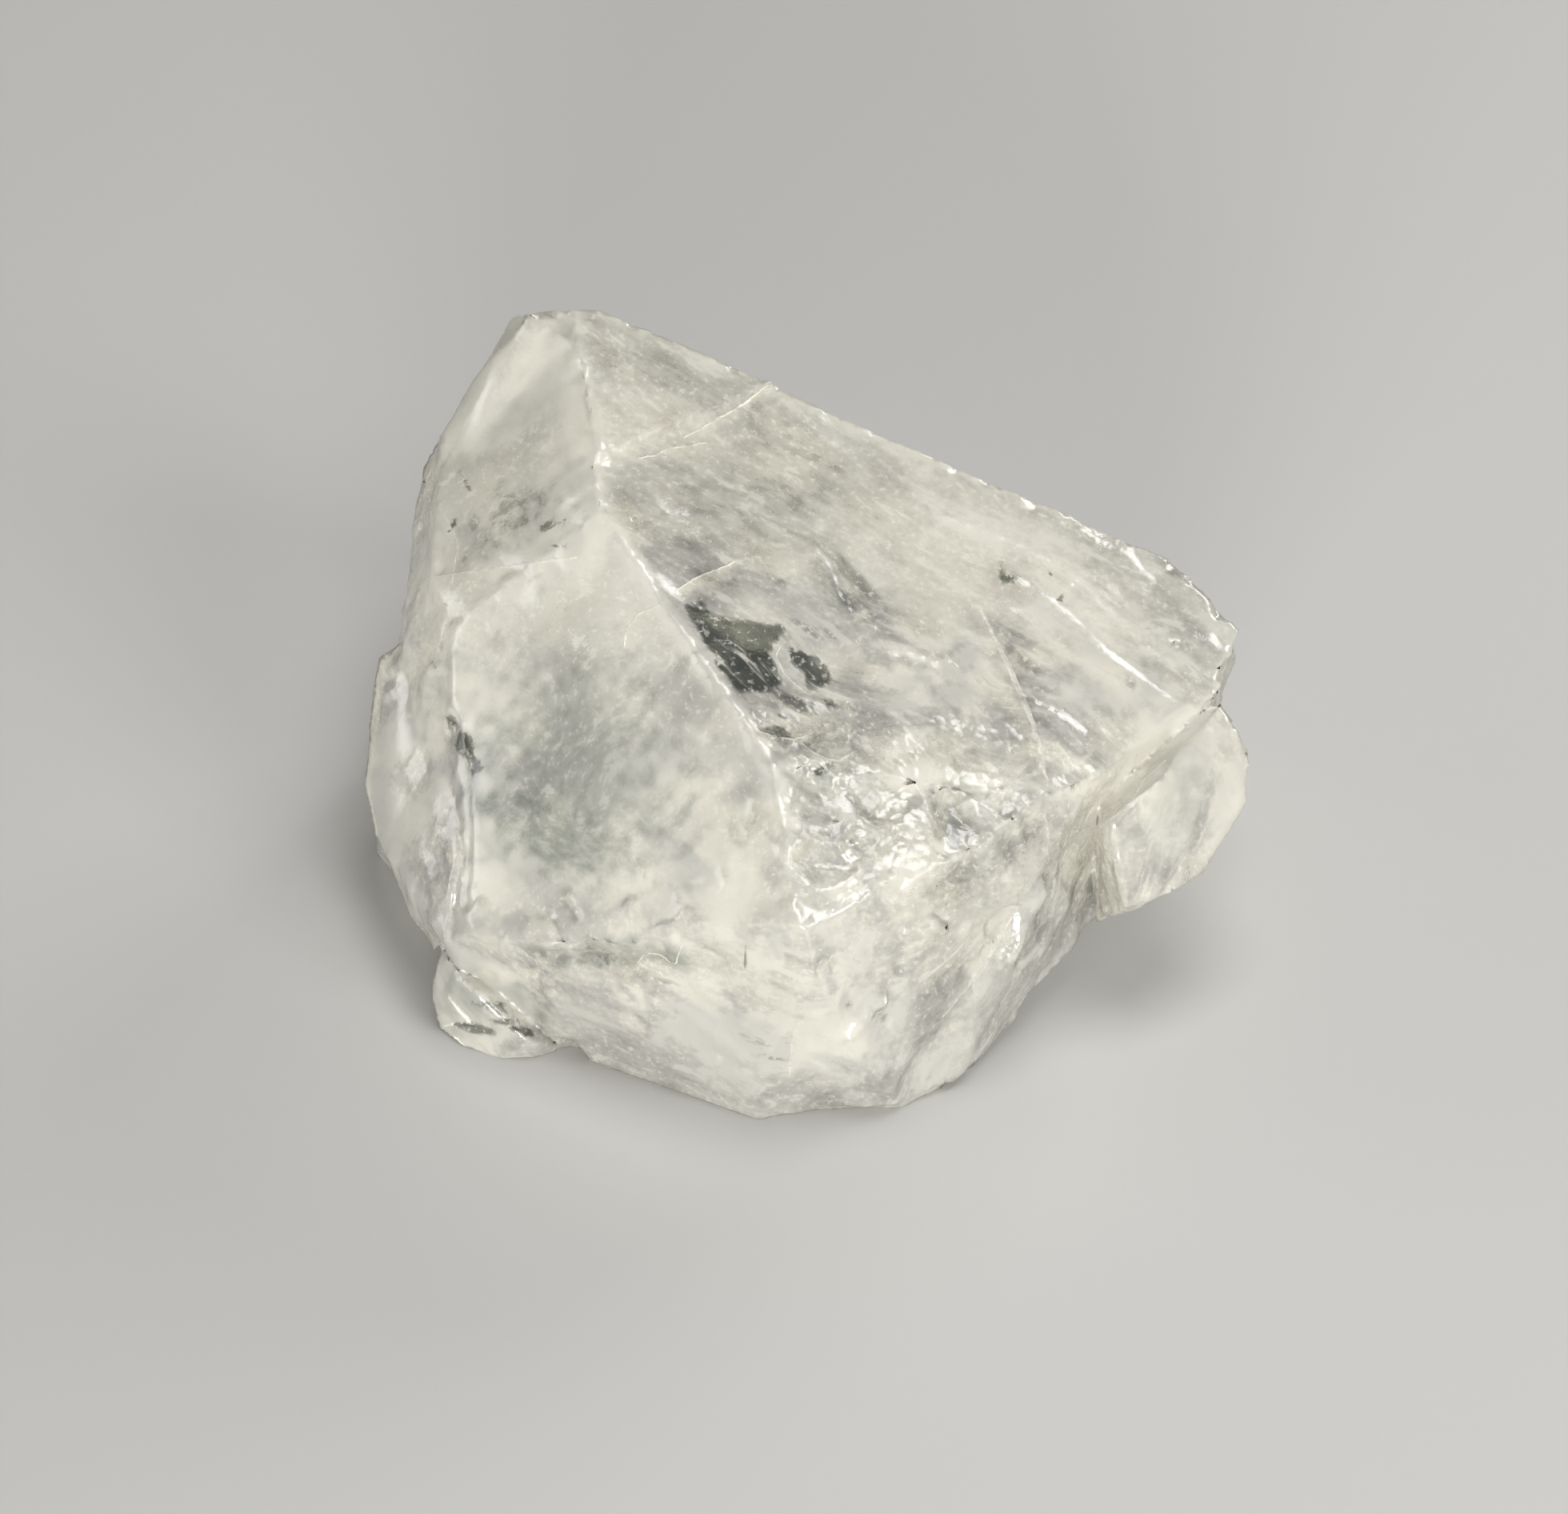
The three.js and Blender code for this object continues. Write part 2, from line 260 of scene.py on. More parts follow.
on_frosted = np.maximum(near("left", CLEAN_REACH), near("left_upper", CLEAN_REACH))
from_breaks = np.minimum(depth_below("brow", points), depth_below("front", points) + FRAY_LEAD)
below_ridge = smooth((FRAY_TOP - points[:, 2]) / 1.5)
frayed = smooth(1.2 - from_breaks / FRAY_WIDTH + 0.7 * waves(points, 1.4, 19)) * below_ridge
on_frosted *= 1.0 - frayed
behind_ledge = smooth((points @ LEDGE_LOOK + LEDGE_DISTANCE) / -LEDGE_BLEND)
on_top = np.maximum(near("top", CLEAN_REACH), near("summit", CLEAN_REACH) * behind_ledge)
on_base = smooth(1.6 - points[:, 2] / CLEAN_REACH)
print(f"frosted: {on_frosted.mean():.0%} of the skin, top: {on_top.mean():.0%}, base: {on_base.mean():.0%}")

# %% The breaks: the brow, the front and the right flank
BROW = np.array([(-2.6, -11.2, 14.6), (9.8, -9.8, 13.4)])  # the ends of the brow's middle line
BROW_REACH = 3.0  # mm from that line
FRONT_REACH = 1.2  # mm from the plane, since a break is less flat than a clean face
FLANK_REACH = 1.5  # mm


def from_line(at, start, end):
    """The distance of points from a straight line between two ends."""
    run = end - start
    share = np.clip((at - start) @ run / (run @ run), 0.0, 1.0)
    return np.linalg.norm(at - start - share[..., None] * run, axis=-1)


on_brow = smooth(2.0 - from_line(points, *BROW) / BROW_REACH) * (1.0 - on_frosted)
on_front = np.maximum(near("front", FRONT_REACH), near("front_right", FRONT_REACH)) * (1.0 - on_frosted)
on_flank = np.maximum(near("right_side", FLANK_REACH), near("right_foot", FLANK_REACH)) * (1.0 - on_top)
on_breaks = (1.0 - on_frosted) * (1.0 - on_top) * (1.0 - on_base)
print(f"brow: {on_brow.mean():.0%} of the skin, all breaks: {on_breaks.mean():.0%}")

# %% [markdown]
# ## Edges, lobes and creases
#
# A vertex is at an edge where its second nearest plane is near as well. Four rounded lobes stand
# out past the flat faces, and a ball fills each. Where a ball comes out through a plane, there
# is a crease, and creases gather haze.

# %% How near a vertex is to an edge or a crease
LOBES = {
    # the middle and the radius, in mm, of the ball in each lobe
    "left": ((-16.6, -1.6, 7.4), 2.7),
    "low": ((-14.2, -9.4, 2.3), 2.2),
    "right": ((16.2, -5.2, 10.0), 2.9),
    "back": ((-12.8, 11.4, 18.6), 3.0),
}
EDGE = 0.9  # mm, how far from an edge its wear reaches
CREASE = 0.9  # mm, how far the haze beside a crease reaches


def inside_lobe(lobe, at):
    """How deep points lie in a lobe's ball: its radius, less the distance from its middle."""
    middle, radius = LOBES[lobe]
    return radius - np.linalg.norm(at - np.array(middle), axis=-1)


def inside_lobes(at):
    """How deep points lie in the nearest lobe: the greatest depth in any ball."""
    return np.max([inside_lobe(lobe, at) for lobe in LOBES], axis=0)


# The summit's plane lies just above the top's and would make an edge of the whole face, so it is left out.
from_planes = np.abs([depth_below(face, points) for face in FACES if face != "summit"])
second_nearest = np.partition(from_planes, 1, axis=0)[1]
at_edge = smooth(1.0 - second_nearest / EDGE) * (1.0 - on_base)
at_ball = smooth(1.3 - np.abs(inside_lobes(points)) / CREASE)
in_crease = at_ball * smooth(1.3 - from_planes.min(axis=0) / CREASE)
print(f"edges: {at_edge.mean():.0%} of the skin, creases: {in_crease.mean():.0%}")

# %% [markdown]
# ## The grain of each zone
#
# Streaks run down the top face along the crystal's growth lines, and along the flanks the way
# the break travelled. A field drawn on shrunken coordinates is stretched the other way: where
# the coordinate along the streaks is divided by 4.5, every pattern comes out that many times
# longer. The points are bent a little first, so that no streak runs ruler-straight. The same
# coordinates go to the material later, so that relief and clouding follow one grain.

# %% Coordinates that follow the grain
GROWTH_WAY = np.array([11.3, -6.1, -4.1])  # along the growth lines of the top face
FLANK_WAY = np.array([-5.9, -5.9, -10.0])  # along the ribs of the right flank
FRONT_WAY = np.array([9.0, -3.0, -1.0])  # along the flakes of the front
LOBE_WAY = np.array([9.0, 1.0, -2.5])  # along the streaks of the low lobe
STRETCH = 4.5  # how many times longer than wide a streak is
BEND = 0.3  # mm, how far the points are bent
LOBE_SKIN = 0.5  # mm, how far the low lobe's skin stands off its ball


def unit(way):
    """A way of length one: the way, divided by its own length."""
    return np.array(way) / np.linalg.norm(way)


ways = np.zeros_like(points)
ways[on_front > 0.5] = unit(FRONT_WAY)
ways[on_flank > 0.5] = unit(FLANK_WAY)
ways[np.maximum(on_top, on_brow) > 0.3] = unit(GROWTH_WAY)
ways[inside_lobe("low", points) > -LOBE_SKIN] = unit(LOBE_WAY)
bent = points + BEND * np.stack([waves(points, 6.0, 60 + k) for k in range(3)], axis=1)
along_grain = (bent * ways).sum(axis=1, keepdims=True)
grain_points = bent - (1.0 - 1.0 / STRETCH) * along_grain * ways
print(f"{(np.abs(ways).sum(axis=1) > 0.0).mean():.0%} of the skin has a grain")

# %% [markdown]
# ## The relief of each zone
#
# The two faces on the left are cleavage that the river or the pocket has frosted: nearly flat.
# The top face is growth, with low steps that run down it. The brow, where the two break off,
# is all splinters. The flanks broke in long flakes, and they ripple away from where the blow
# fell. Every edge is nibbled by small chips, because an edge of brittle stone never stays
# whole. Each kind of relief is two or three fields on top of one another, large and small,
# because a break that has one size only looks like a pattern.

# %% Flakes on every broken side, and splinters on the brow
# Each row is a field's height in mm, the size of its cells or waves in mm, and its seed.
FLAKES = [(0.4, 4.6, 11), (0.2, 2.1, 23), (0.07, 1.0, 31)]
RIBS = [(0.05, 1.3, 33), (0.06, 3.0, 34)]
FACETS = [(0.12, 1.6, 37), (0.07, 0.8, 39)]

relief = np.zeros(vertex_count)
flakes = layers(shells, bent, FLAKES)
ribs = on_flank * layers(waves, grain_points, RIBS)
facets = layers(splinters, points, FACETS)
relief += on_breaks * (1.0 - on_brow) * (flakes + ribs)
relief += on_brow * (facets + 0.04 * shells(bent, 3.2, 43) + 0.05 * waves(points, 4.0, 3))
print("relief of the broken sides, mm:", relief.min(), relief.max())

# %% Growth steps down the top face
STEP_GAP = 0.7  # mm from one line to the next
STEP_HEIGHT = 0.06  # mm
STEP_COUNT = 90  # enough to cross the whole face
STEP_SWING = 0.5  # mm, how far the lines swing from side to side
PIT_DEPTH = 0.06  # mm

step_dice = np.random.default_rng(5)
across_steps = unit(np.cross(FACES["top"][0], GROWTH_WAY))
first_knot = 0.5 * STEP_COUNT * STEP_GAP
knots = np.cumsum(step_dice.uniform(0.2, 1.8, STEP_COUNT) * STEP_GAP) - first_knot
levels = step_dice.uniform(-1.0, 1.0, STEP_COUNT) * STEP_HEIGHT
distance_across = points @ across_steps + STEP_SWING * waves(points, 9.0, 8)
steps = np.interp(distance_across, knots, levels)
pits = PIT_DEPTH * splinters(points, 1.1, 45) * smooth(waves(points, 7.0, 12))
relief += on_top * (steps + 0.03 * waves(grain_points, 2.0, 9) + pits)
print(f"growth steps: {STEP_COUNT} lines, {steps.min():.2f} to {steps.max():.2f} mm high")

# %% Swells on the frosted faces, and chips along the edges
SWELL = 0.03  # mm
CHIP = 0.12  # mm, how deep an edge is nibbled

relief += on_frosted * SWELL * waves(points, 7.0, 15)
nibbled = smooth(2.0 * shells(points, 1.5, 17)) + smooth(0.2 + waves(points, 5.0, 18))
relief -= at_edge * CHIP * nibbled
print("relief of the whole skin, mm:", relief.min(), relief.max())

# %% [markdown]
# ## Moving the skin
#
# Each vertex moves along its normal by its relief. In the creases the moved skin could fold over
# itself, so there each vertex is drawn towards the mean of its neighbours, round after round,
# which fills a crease as dirt fills a corner. Last, nothing may leave the solid's box.

# %% Moving the skin, and filling the creases
RELAX_ROUNDS = 16
RELAX_SHARE = 0.8  # of the way to the neighbours' mean, in each round

ends = np.empty(2 * len(skin.edges), dtype=np.int64)
skin.edges.foreach_get("vertices", ends)
ends = ends.reshape(-1, 2)
neighbours = np.bincount(ends.ravel(), minlength=vertex_count)


def neighbour_mean(at):
    """The mean place of each vertex's neighbours: the sum over its edges, divided by their number."""
    one, other = ends.T
    sums = [
        np.bincount(one, at[other, k], vertex_count) + np.bincount(other, at[one, k], vertex_count)
        for k in range(3)
    ]
    return np.stack(sums, axis=1) / neighbours[:, None]


moved = points + outward * (relief * (1.0 - on_base))[:, None]
for _ in range(RELAX_ROUNDS):
    moved += RELAX_SHARE * in_crease[:, None] * (neighbour_mean(moved) - moved)
moved = np.clip(moved, np.array(cad_box[0]) / MM, np.array(cad_box[1]) / MM)
skin.vertices.foreach_set("co", (moved * MM).ravel())
skin.update()
skin.shade_smooth()
skin.vertices.foreach_get("normal", flat)
outward = flat.reshape(-1, 3).copy()
shift = np.linalg.norm(moved - points, axis=1)
print(f"the skin moved by {shift.mean():.3f} mm on average and {shift.max():.2f} mm at most")

# %% [markdown]
# ## The view from the front
#
# Single cracks, windows and flecks each have their own place, and the easiest way to give a
# place is to say where it is seen from the front: so many millimetres to the right of the
# middle, and so many up. The camera looks down at 42 degrees from 36 cm away, so this cell
# sets up the same view for the vertices, and then a mark can be laid on the skin.

# %% Where each vertex is seen
ELEVATION = math.radians(42.0)
DISTANCE = 360.0  # mm from the camera to its target
TARGET = np.array([-0.9, -0.93, 8.0])  # mm, the place that the camera looks at
TOWARDS = np.array([0.0, -math.cos(ELEVATION), math.sin(ELEVATION)])  # from the stone to the camera
UPWARDS = np.array([0.0, math.sin(ELEVATION), math.cos(ELEVATION)])


def seen(at):
    """Where points are seen, in mm right and up from the middle, and how near they are to the camera.

    Things grow with nearness: the shift times distance / (distance - nearness).
    """
    offset = at - TARGET
    nearness = offset @ TOWARDS
    growth = DISTANCE / (DISTANCE - nearness)
    return offset[..., 0] * growth, offset @ UPWARDS * growth, nearness


seen_right, seen_up, seen_near = seen(moved)
facing = smooth(4.0 * (outward @ TOWARDS))
print(f"{facing.mean():.0%} of the skin faces the front")

# %% Marks on the skin that faces the front
EDGE_BLEND = 0.35  # mm, over which a mark with corners fades out

ragged = 0.22 * waves(moved, 0.9, 51) + 0.15 * waves(moved, 2.5, 53)


def oval(right, up, half_length, half_width, turn):
    """A mask on the skin that faces the front: an oval with ragged edges, turned by degrees from level."""
    angle = math.radians(turn)
    x = seen_right - right
    y = seen_up - up
    long_way = (x * math.cos(angle) + y * math.sin(angle)) / half_length
    short_way = (y * math.cos(angle) - x * math.sin(angle)) / half_width
    return smooth(1.35 - np.hypot(long_way, short_way) + ragged) * facing


def patch(corners):
    """A mask on the skin that faces the front, inside an outline in view millimetres.

    Each side gives the distance to its nearest point. A place is inside where an odd number of sides
    is crossed on the way to the right.
    """
    nearest = np.full(vertex_count, np.inf)
    inside = np.zeros(vertex_count, dtype=bool)
    for (x0, y0), (x1, y1) in zip(corners, corners[1:] + corners[:1]):
        long_x, long_y = x1 - x0, y1 - y0
        share = ((seen_right - x0) * long_x + (seen_up - y0) * long_y) / (long_x ** 2 + long_y ** 2)
        share = np.clip(share, 0.0, 1.0)
        away = np.hypot(seen_right - x0 - share * long_x, seen_up - y0 - share * long_y)
        nearest = np.minimum(nearest, away)
        if long_y != 0.0:
            level = (y0 > seen_up) != (y1 > seen_up)
            inside ^= level & (seen_right < x0 + (seen_up - y0) * long_x / long_y)
    depth = np.where(inside, nearest, -nearest) + 0.5 * EDGE_BLEND * ragged
    return smooth(0.5 + depth / EDGE_BLEND) * facing


def strongest(marks):
    """Many ovals as one mask: at each vertex, the greatest oval times its strength."""
    return np.max([share * oval(*shape) for *shape, share in marks], axis=0)


# %% [markdown]
# ## Windows, flecks and haze
#
# Most of the skin is a little cloudy, from fine healed cracks just below it. Here and there a
# piece of it is clear, and one looks down into the dark inside, which a grey tint paints darker
# still. Grey clouds are painted shade that darkens the milky colour, and white patches are
# thicker haze, several of them painted highlights in place of glints and flares. The large
# windows have outlines of their own, and all other marks are ragged ovals.

# %% Windows with outlines
CLEAR_OUTLINES = [
    # how clear, and the corners (right, up) in mm: the large window beside the ridge in two parts
    (0.85, [(-4.5, 6.9), (-3.7, 7.0), (-3.0, 6.3), (-1.0, 6.1), (0.0, 6.0), (-0.1, 5.3), (-0.6, 4.6),
            (-0.3, 4.1), (0.0, 3.3), (-0.6, 2.9), (-2.0, 2.9), (-3.0, 3.9), (-3.7, 5.2)]),
    (0.8, [(0.1, 5.0), (1.4, 4.6), (2.1, 4.1), (2.1, 3.5), (1.6, 2.9), (1.1, 3.0), (0.8, 3.7), (0.1, 4.3)]),
    (0.5, [(-0.6, 2.9), (0.4, 3.0), (1.4, 2.6), (1.5, 1.8), (0.9, 1.4), (0.2, 1.9)]),
    (0.45, [(0.0, 6.2), (2.4, 5.9), (3.0, 5.3), (1.6, 5.1), (0.1, 5.2)]),
    # the lens under it, and small slits around
    (1.0, [(-0.9, 1.3), (-0.3, 1.45), (0.7, 1.25), (0.1, 0.85), (-0.4, 0.85)]),
    (0.7, [(-1.1, 2.35), (-0.3, 2.1), (0.4, 1.5), (-0.2, 1.8)]),
    (0.9, [(1.7, 2.6), (2.2, 2.5), (2.6, 2.1), (1.8, 2.2)]),
    (0.85, [(1.1, -0.9), (1.5, -0.4), (2.3, -0.1), (2.4, -0.4), (1.7, -0.9)]),
    # the hackly streaks of the low lobe
    (0.85, [(-15.4, -12.0), (-14.3, -11.8), (-13.2, -12.1), (-12.8, -12.5), (-13.5, -12.5),
            (-14.5, -12.2)]),
    (0.8, [(-13.4, -11.35), (-12.6, -11.25), (-12.1, -11.5), (-12.8, -11.65)]),
    (0.85, [(-13.3, -11.75), (-12.0, -11.65), (-11.6, -11.85), (-12.5, -12.1), (-13.1, -12.0)]),
    (0.85, [(-12.5, -12.0), (-11.8, -12.0), (-11.1, -12.4), (-11.6, -12.6), (-12.3, -12.3)]),
    (0.9, [(-14.2, -10.9), (-13.2, -11.0), (-12.4, -11.0), (-12.6, -11.25), (-13.5, -11.3)]),
]
outlined = np.max([share * patch(corners) for share, corners in CLEAR_OUTLINES], axis=0)
print(f"outlined windows: {outlined.mean():.1%} of the skin")

# %% Small windows and flecks
CLEAR_MARKS = [
    # right, up, half length, half width (mm), turn (degrees), how clear
    # streaked patches on the top face
    (3.5, 7.0, 1.5, 0.9, -35, 0.45),
    (2.4, 8.6, 1.6, 0.5, -35, 0.3),
    (-0.5, 7.9, 1.2, 0.5, -20, 0.3),
    (-3.0, 8.0, 1.3, 0.4, -15, 0.3),
    (-0.8, 11.5, 3.0, 1.3, 10, 0.3),
    (0.6, 13.7, 2.5, 0.7, -25, 0.3),
    # flecks towards the right
    (10.2, 8.1, 0.4, 0.25, 0, 1.0),
    (9.8, 8.3, 0.15, 0.5, 10, 0.9),
    (11.9, 8.1, 0.35, 0.15, 60, 0.9),
    (12.4, 7.1, 0.3, 0.12, 50, 0.9),
    (10.8, 4.5, 1.4, 0.45, -62, 0.4),
    (9.4, 3.2, 0.9, 0.35, -20, 0.45),
    (11.7, -1.4, 0.6, 0.3, -50, 0.5),
    (16.7, 5.9, 0.7, 0.3, 30, 0.4),
    (15.6, 3.4, 0.6, 0.4, 60, 0.4),
    # the left faces
    (-12.3, 10.6, 2.2, 1.3, 30, 0.4),
    (-10.3, 10.4, 0.8, 0.16, 25, 0.75),
    (-9.9, 9.4, 0.4, 0.14, -15, 0.75),
    (-14.9, 10.4, 0.5, 0.13, 60, 1.0),
    (-14.2, 12.2, 0.6, 0.13, -60, 0.8),
    (-14.3, 0.6, 1.4, 0.45, -60, 0.9),
    (-15.4, 4.9, 1.6, 0.35, 80, 0.35),
    (-9.9, 6.8, 0.5, 0.5, 0, 0.3),
    # the band above the foot
    (-4.7, -10.2, 1.4, 0.4, -5, 0.4),
    (-1.7, -9.2, 0.1, 0.8, 2, 0.8),
    (-0.6, -13.3, 1.4, 0.35, -35, 0.35),
    (3.9, -11.5, 1.1, 0.4, -20, 0.4),
]
window = np.maximum(strongest(CLEAR_MARKS), outlined)
print(f"windows: {window.mean():.1%} of the skin")

# %% White patches and painted highlights, and painted shade
WHITE_AND_HIGHLIGHT_MARKS = [
    # right, up, half length, half width (mm), turn (degrees), how white: thicker haze, several of them
    # painted highlights in place of glints and flares
    (7.4, 3.6, 3.4, 1.9, -15, 0.75),
    (14.2, 4.4, 4.4, 3.2, -45, 0.5),
    (10.5, 9.5, 5.5, 1.8, -30, 0.4),
    (14.0, -0.6, 3.0, 2.0, 40, 0.4),
    (4.0, -12.5, 6.0, 2.6, -20, 0.5),
    (-3.0, -12.5, 3.5, 1.5, -25, 0.45),
    (-0.4, 1.9, 1.6, 0.8, -12, 0.7),
    (0.4, 4.6, 0.25, 1.1, 12, 0.8),
    (5.6, 0.6, 1.3, 0.5, 25, 1.2),
    (6.0, -0.9, 1.0, 0.8, 20, 1.2),
    (8.6, -2.2, 0.8, 0.6, 0, 1.2),
    (7.9, -4.3, 1.3, 0.4, -12, 1.6),
    (2.6, -5.6, 0.9, 0.4, 30, 1.0),
    (-2.4, -5.7, 1.2, 1.5, 20, 0.3),
    (2.2, -7.9, 0.5, 0.9, 20, 1.1),
    (8.1, 4.6, 1.0, 0.25, 40, 0.8),
    (-0.5, -9.0, 0.9, 0.5, -5, 1.2),
    (-6.5, -10.6, 0.7, 0.5, -30, 0.8),
    (10.6, -9.4, 1.3, 0.14, 48, 1.2),
    (3.6, -8.5, 0.35, 0.8, 5, 0.8),
    (-13.2, -10.4, 1.2, 0.3, -30, 0.6),
    (-4.4, -12.0, 1.6, 0.6, -30, 0.5),
]
PAINTED_SHADE_MARKS = [
    # right, up, half length, half width (mm), turn (degrees), how grey: painted shade, soft grey clouds
    # that darken the milky colour where the dark inside shows
    (-11.2, -2.9, 3.6, 1.9, -35, 0.75),
    (-8.6, -4.0, 2.4, 1.5, 10, 0.65),
    (-13.4, 0.2, 1.8, 1.3, -60, 0.5),
    (-9.5, -0.5, 5.5, 5.0, -40, 0.52),
    (-12.0, 10.4, 2.6, 1.6, 30, 0.4),
    (-11.8, 13.6, 2.4, 2.2, 40, 0.25),
    (-0.8, 11.0, 4.6, 2.2, -5, 0.4),
    (2.6, 7.6, 2.6, 1.3, -35, 0.3),
    (-7.0, -8.8, 4.0, 0.7, -2, 0.65),
    (4.8, -2.2, 6.0, 3.8, -10, 0.32),
    (-13.6, -11.2, 2.2, 1.4, -8, 0.45),
    (17.4, -2.2, 2.2, 1.7, 50, 0.35),
    (9.5, -8.0, 5.0, 1.6, 50, 0.2),
]
# White patches thicken the haze, and several of them are painted highlights.
white_and_highlight = strongest(WHITE_AND_HIGHLIGHT_MARKS)
# Painted shade: grey clouds that darken the milky colour, kept out of the white patches.
painted_shade = strongest(PAINTED_SHADE_MARKS) * (1.0 - np.clip(white_and_highlight, 0.0, 1.0))
print(f"white patches: {white_and_highlight.mean():.1%} of the skin, grey clouds: {painted_shade.mean():.1%}")

# %% [markdown]
# ## Haze by zone
#
# The haze is a number for each vertex: nought lets light through, and one is the cloudiest
# topaz. It is thick on the front, on the frosted faces and along thin rims, and thinner on the
# top face and the brow. Edges and creases are crushed, so they are whiter still.

# %% The haze of every vertex
PLAIN_HAZE = 0.7
RIM_REACH = 0.8  # mm from the planes of the left rim
EDGE_HAZE = 0.25  # what an edge adds
CREASE_HAZE = 0.35
WHITE_AND_HIGHLIGHT_HAZE = 0.5  # what a white patch or painted highlight adds
HAZE_SWELL = 0.08  # how far the haze comes and goes over the whole stone
HAZE_LIMIT = 1.4  # past one, so that specks of thin haze are lost in the whitest places

on_rim = np.maximum(near("left_side", RIM_REACH), near("left_under", RIM_REACH)) * (1.0 - on_frosted)
zone_haze = [
    # later rows lie over earlier ones
    (on_front, 0.83),
    (on_flank, 0.68),
    (on_top, 0.72),
    (on_brow, 0.64),
    (on_frosted, 0.85),
    (on_rim, 0.85),
]
haze = PLAIN_HAZE * np.ones(vertex_count)
for zone, value in zone_haze:
    haze += zone * (value - haze)
haze += EDGE_HAZE * at_edge + CREASE_HAZE * in_crease
haze += HAZE_SWELL * waves(points, 5.0, 52) + WHITE_AND_HIGHLIGHT_HAZE * white_and_highlight
haze = np.clip(haze, 0.0, HAZE_LIMIT)
print(f"haze: {haze.mean():.2f} on average")

# %% [markdown]
# ## What the material will read
#
# The masks go into the mesh as attributes, one value for each vertex. Two more are worked out
# first. Where the grain turns from one way to another, the stretched patterns of two zones would
# meet in a seam, so the material must know where the grain is whole. And it must know where the
# skin is hackly, torn into small, sharp chips that are too fine for the mesh.

# %% Masks kept in the mesh
HACKLY_FRONT = 0.35  # how hackly the front is, where the brow is one
HACKLY_FLANK = 0.3
HACKLY_EDGE = 0.4
SAME_WAY = 0.01  # how far a vertex's way may be from its neighbours' mean, where the grain is whole


def keep(mesh, name, values):
    """Stores a number or a vector for each vertex in a mesh, for a material to read."""
    kind, field = ("FLOAT_VECTOR", "vector") if values.ndim == 2 else ("FLOAT", "value")
    attribute = mesh.attributes.new(name, kind, "POINT")
    attribute.data.foreach_set(field, values.astype(np.float32).ravel())


grain_turns = np.linalg.norm(neighbour_mean(ways) - ways, axis=1, keepdims=True) > SAME_WAY
seam = np.repeat(grain_turns, 3, axis=1).astype(float)  # three columns, as neighbour_mean takes places
whole_grain = 1.0 - smooth(seam + 2.0 * neighbour_mean(seam))[:, 0]
hackly = on_brow + HACKLY_FRONT * on_front + HACKLY_FLANK * on_flank + HACKLY_EDGE * at_edge
keep(skin, "frost", on_frosted)
keep(skin, "window", window)
# painted shade, which the material reads to darken the milky colour
keep(skin, "painted_shade", painted_shade)
keep(skin, "haze", haze)
keep(skin, "grain", grain_points * MM)
keep(skin, "whole", whole_grain)
keep(skin, "hackle", np.clip(hackly, 0.0, 1.0) * whole_grain)
print("attributes:", [attribute.name for attribute in skin.attributes if not attribute.is_internal])

# %% [markdown]
# ## The finish of the skin
#
# Colourless topaz has an index of refraction of 1.62, a little more than window glass, so it
# bends light strongly and its skin glitters. The fresh breaks are as smooth as glass. The two
# faces on the left are frosted, as if ground with fine sand, and blur what lies behind them.
# One Principled shader does both: the haze lowers its transmission, and what light doesn't pass
# is thrown back by the milky colour.
#
# A material is a tree of nodes, and one function adds a node to it. Settings that come up again
# and again have names.

# %% Colours and nodes
PLUS = {"operation": "ADD"}
TIMES = {"operation": "MULTIPLY"}
HELD = {"use_clamp": True}  # keeps a result from 0 to 1


def linear(hex_code):
    """sRGB hex to linear colour.

    Up to 0.04045 a share is divided by 12.92, and above it is ((c + 0.055) / 1.055) to the power 2.4.
    """
    shares = [int(hex_code[i:i + 2], 16) / 255.0 for i in (1, 3, 5)]
    return tuple(c / 12.92 if c <= 0.04045 else ((c + 0.055) / 1.055) ** 2.4 for c in shares) + (1.0,)


def add(tree, kind, settings=None, **links):
    """Adds a node. A setting is a property's or an input's value, and a link is the source of an input.

    A link has the input's name, with _ for a space, or its number after a _. Its source is an output,
    or a node, which stands for its own first output.
    """
    made = tree.nodes.new("ShaderNode" + kind)
    for name, value in (settings or {}).items():
        if isinstance(name, int) or name in made.inputs:
            made.inputs[name].default_value = value
        else:
            setattr(made, name, value)
    for name, source in links.items():
        key = int(name[1:]) if name[1:].isdigit() else name.replace("_", " ")
        output = source.outputs[0] if isinstance(source, bpy.types.Node) else source
        tree.links.new(output, made.inputs[key])
    return made


def span(low, high, to_low, to_high):
    """Settings that spread a value between two limits over a new range, and stop at its ends."""
    return {"From Min": low, "From Max": high, "To Min": to_low, "To Max": to_high}


def new_material(name):
    """A material with an empty node tree."""
    material = bpy.data.materials.new(name)
    material.use_nodes = True
    material.node_tree.nodes.clear()
    return material, material.node_tree


print("milky topaz is", [round(share, 3) for share in linear("#fcf9ed")], "in linear colour")

# %% What the skin's material reads
topaz, tree = new_material("colourless_topaz")
place = add(tree, "TexCoord").outputs["Object"]
grain = add(tree, "Attribute", {"attribute_name": "grain"}).outputs["Vector"]
masks = {
    name: add(tree, "Attribute", {"attribute_name": name}).outputs["Fac"]
    for name in ("frost", "window", "haze", "painted_shade", "hackle", "whole")
}
print("masks:", ", ".join(masks))

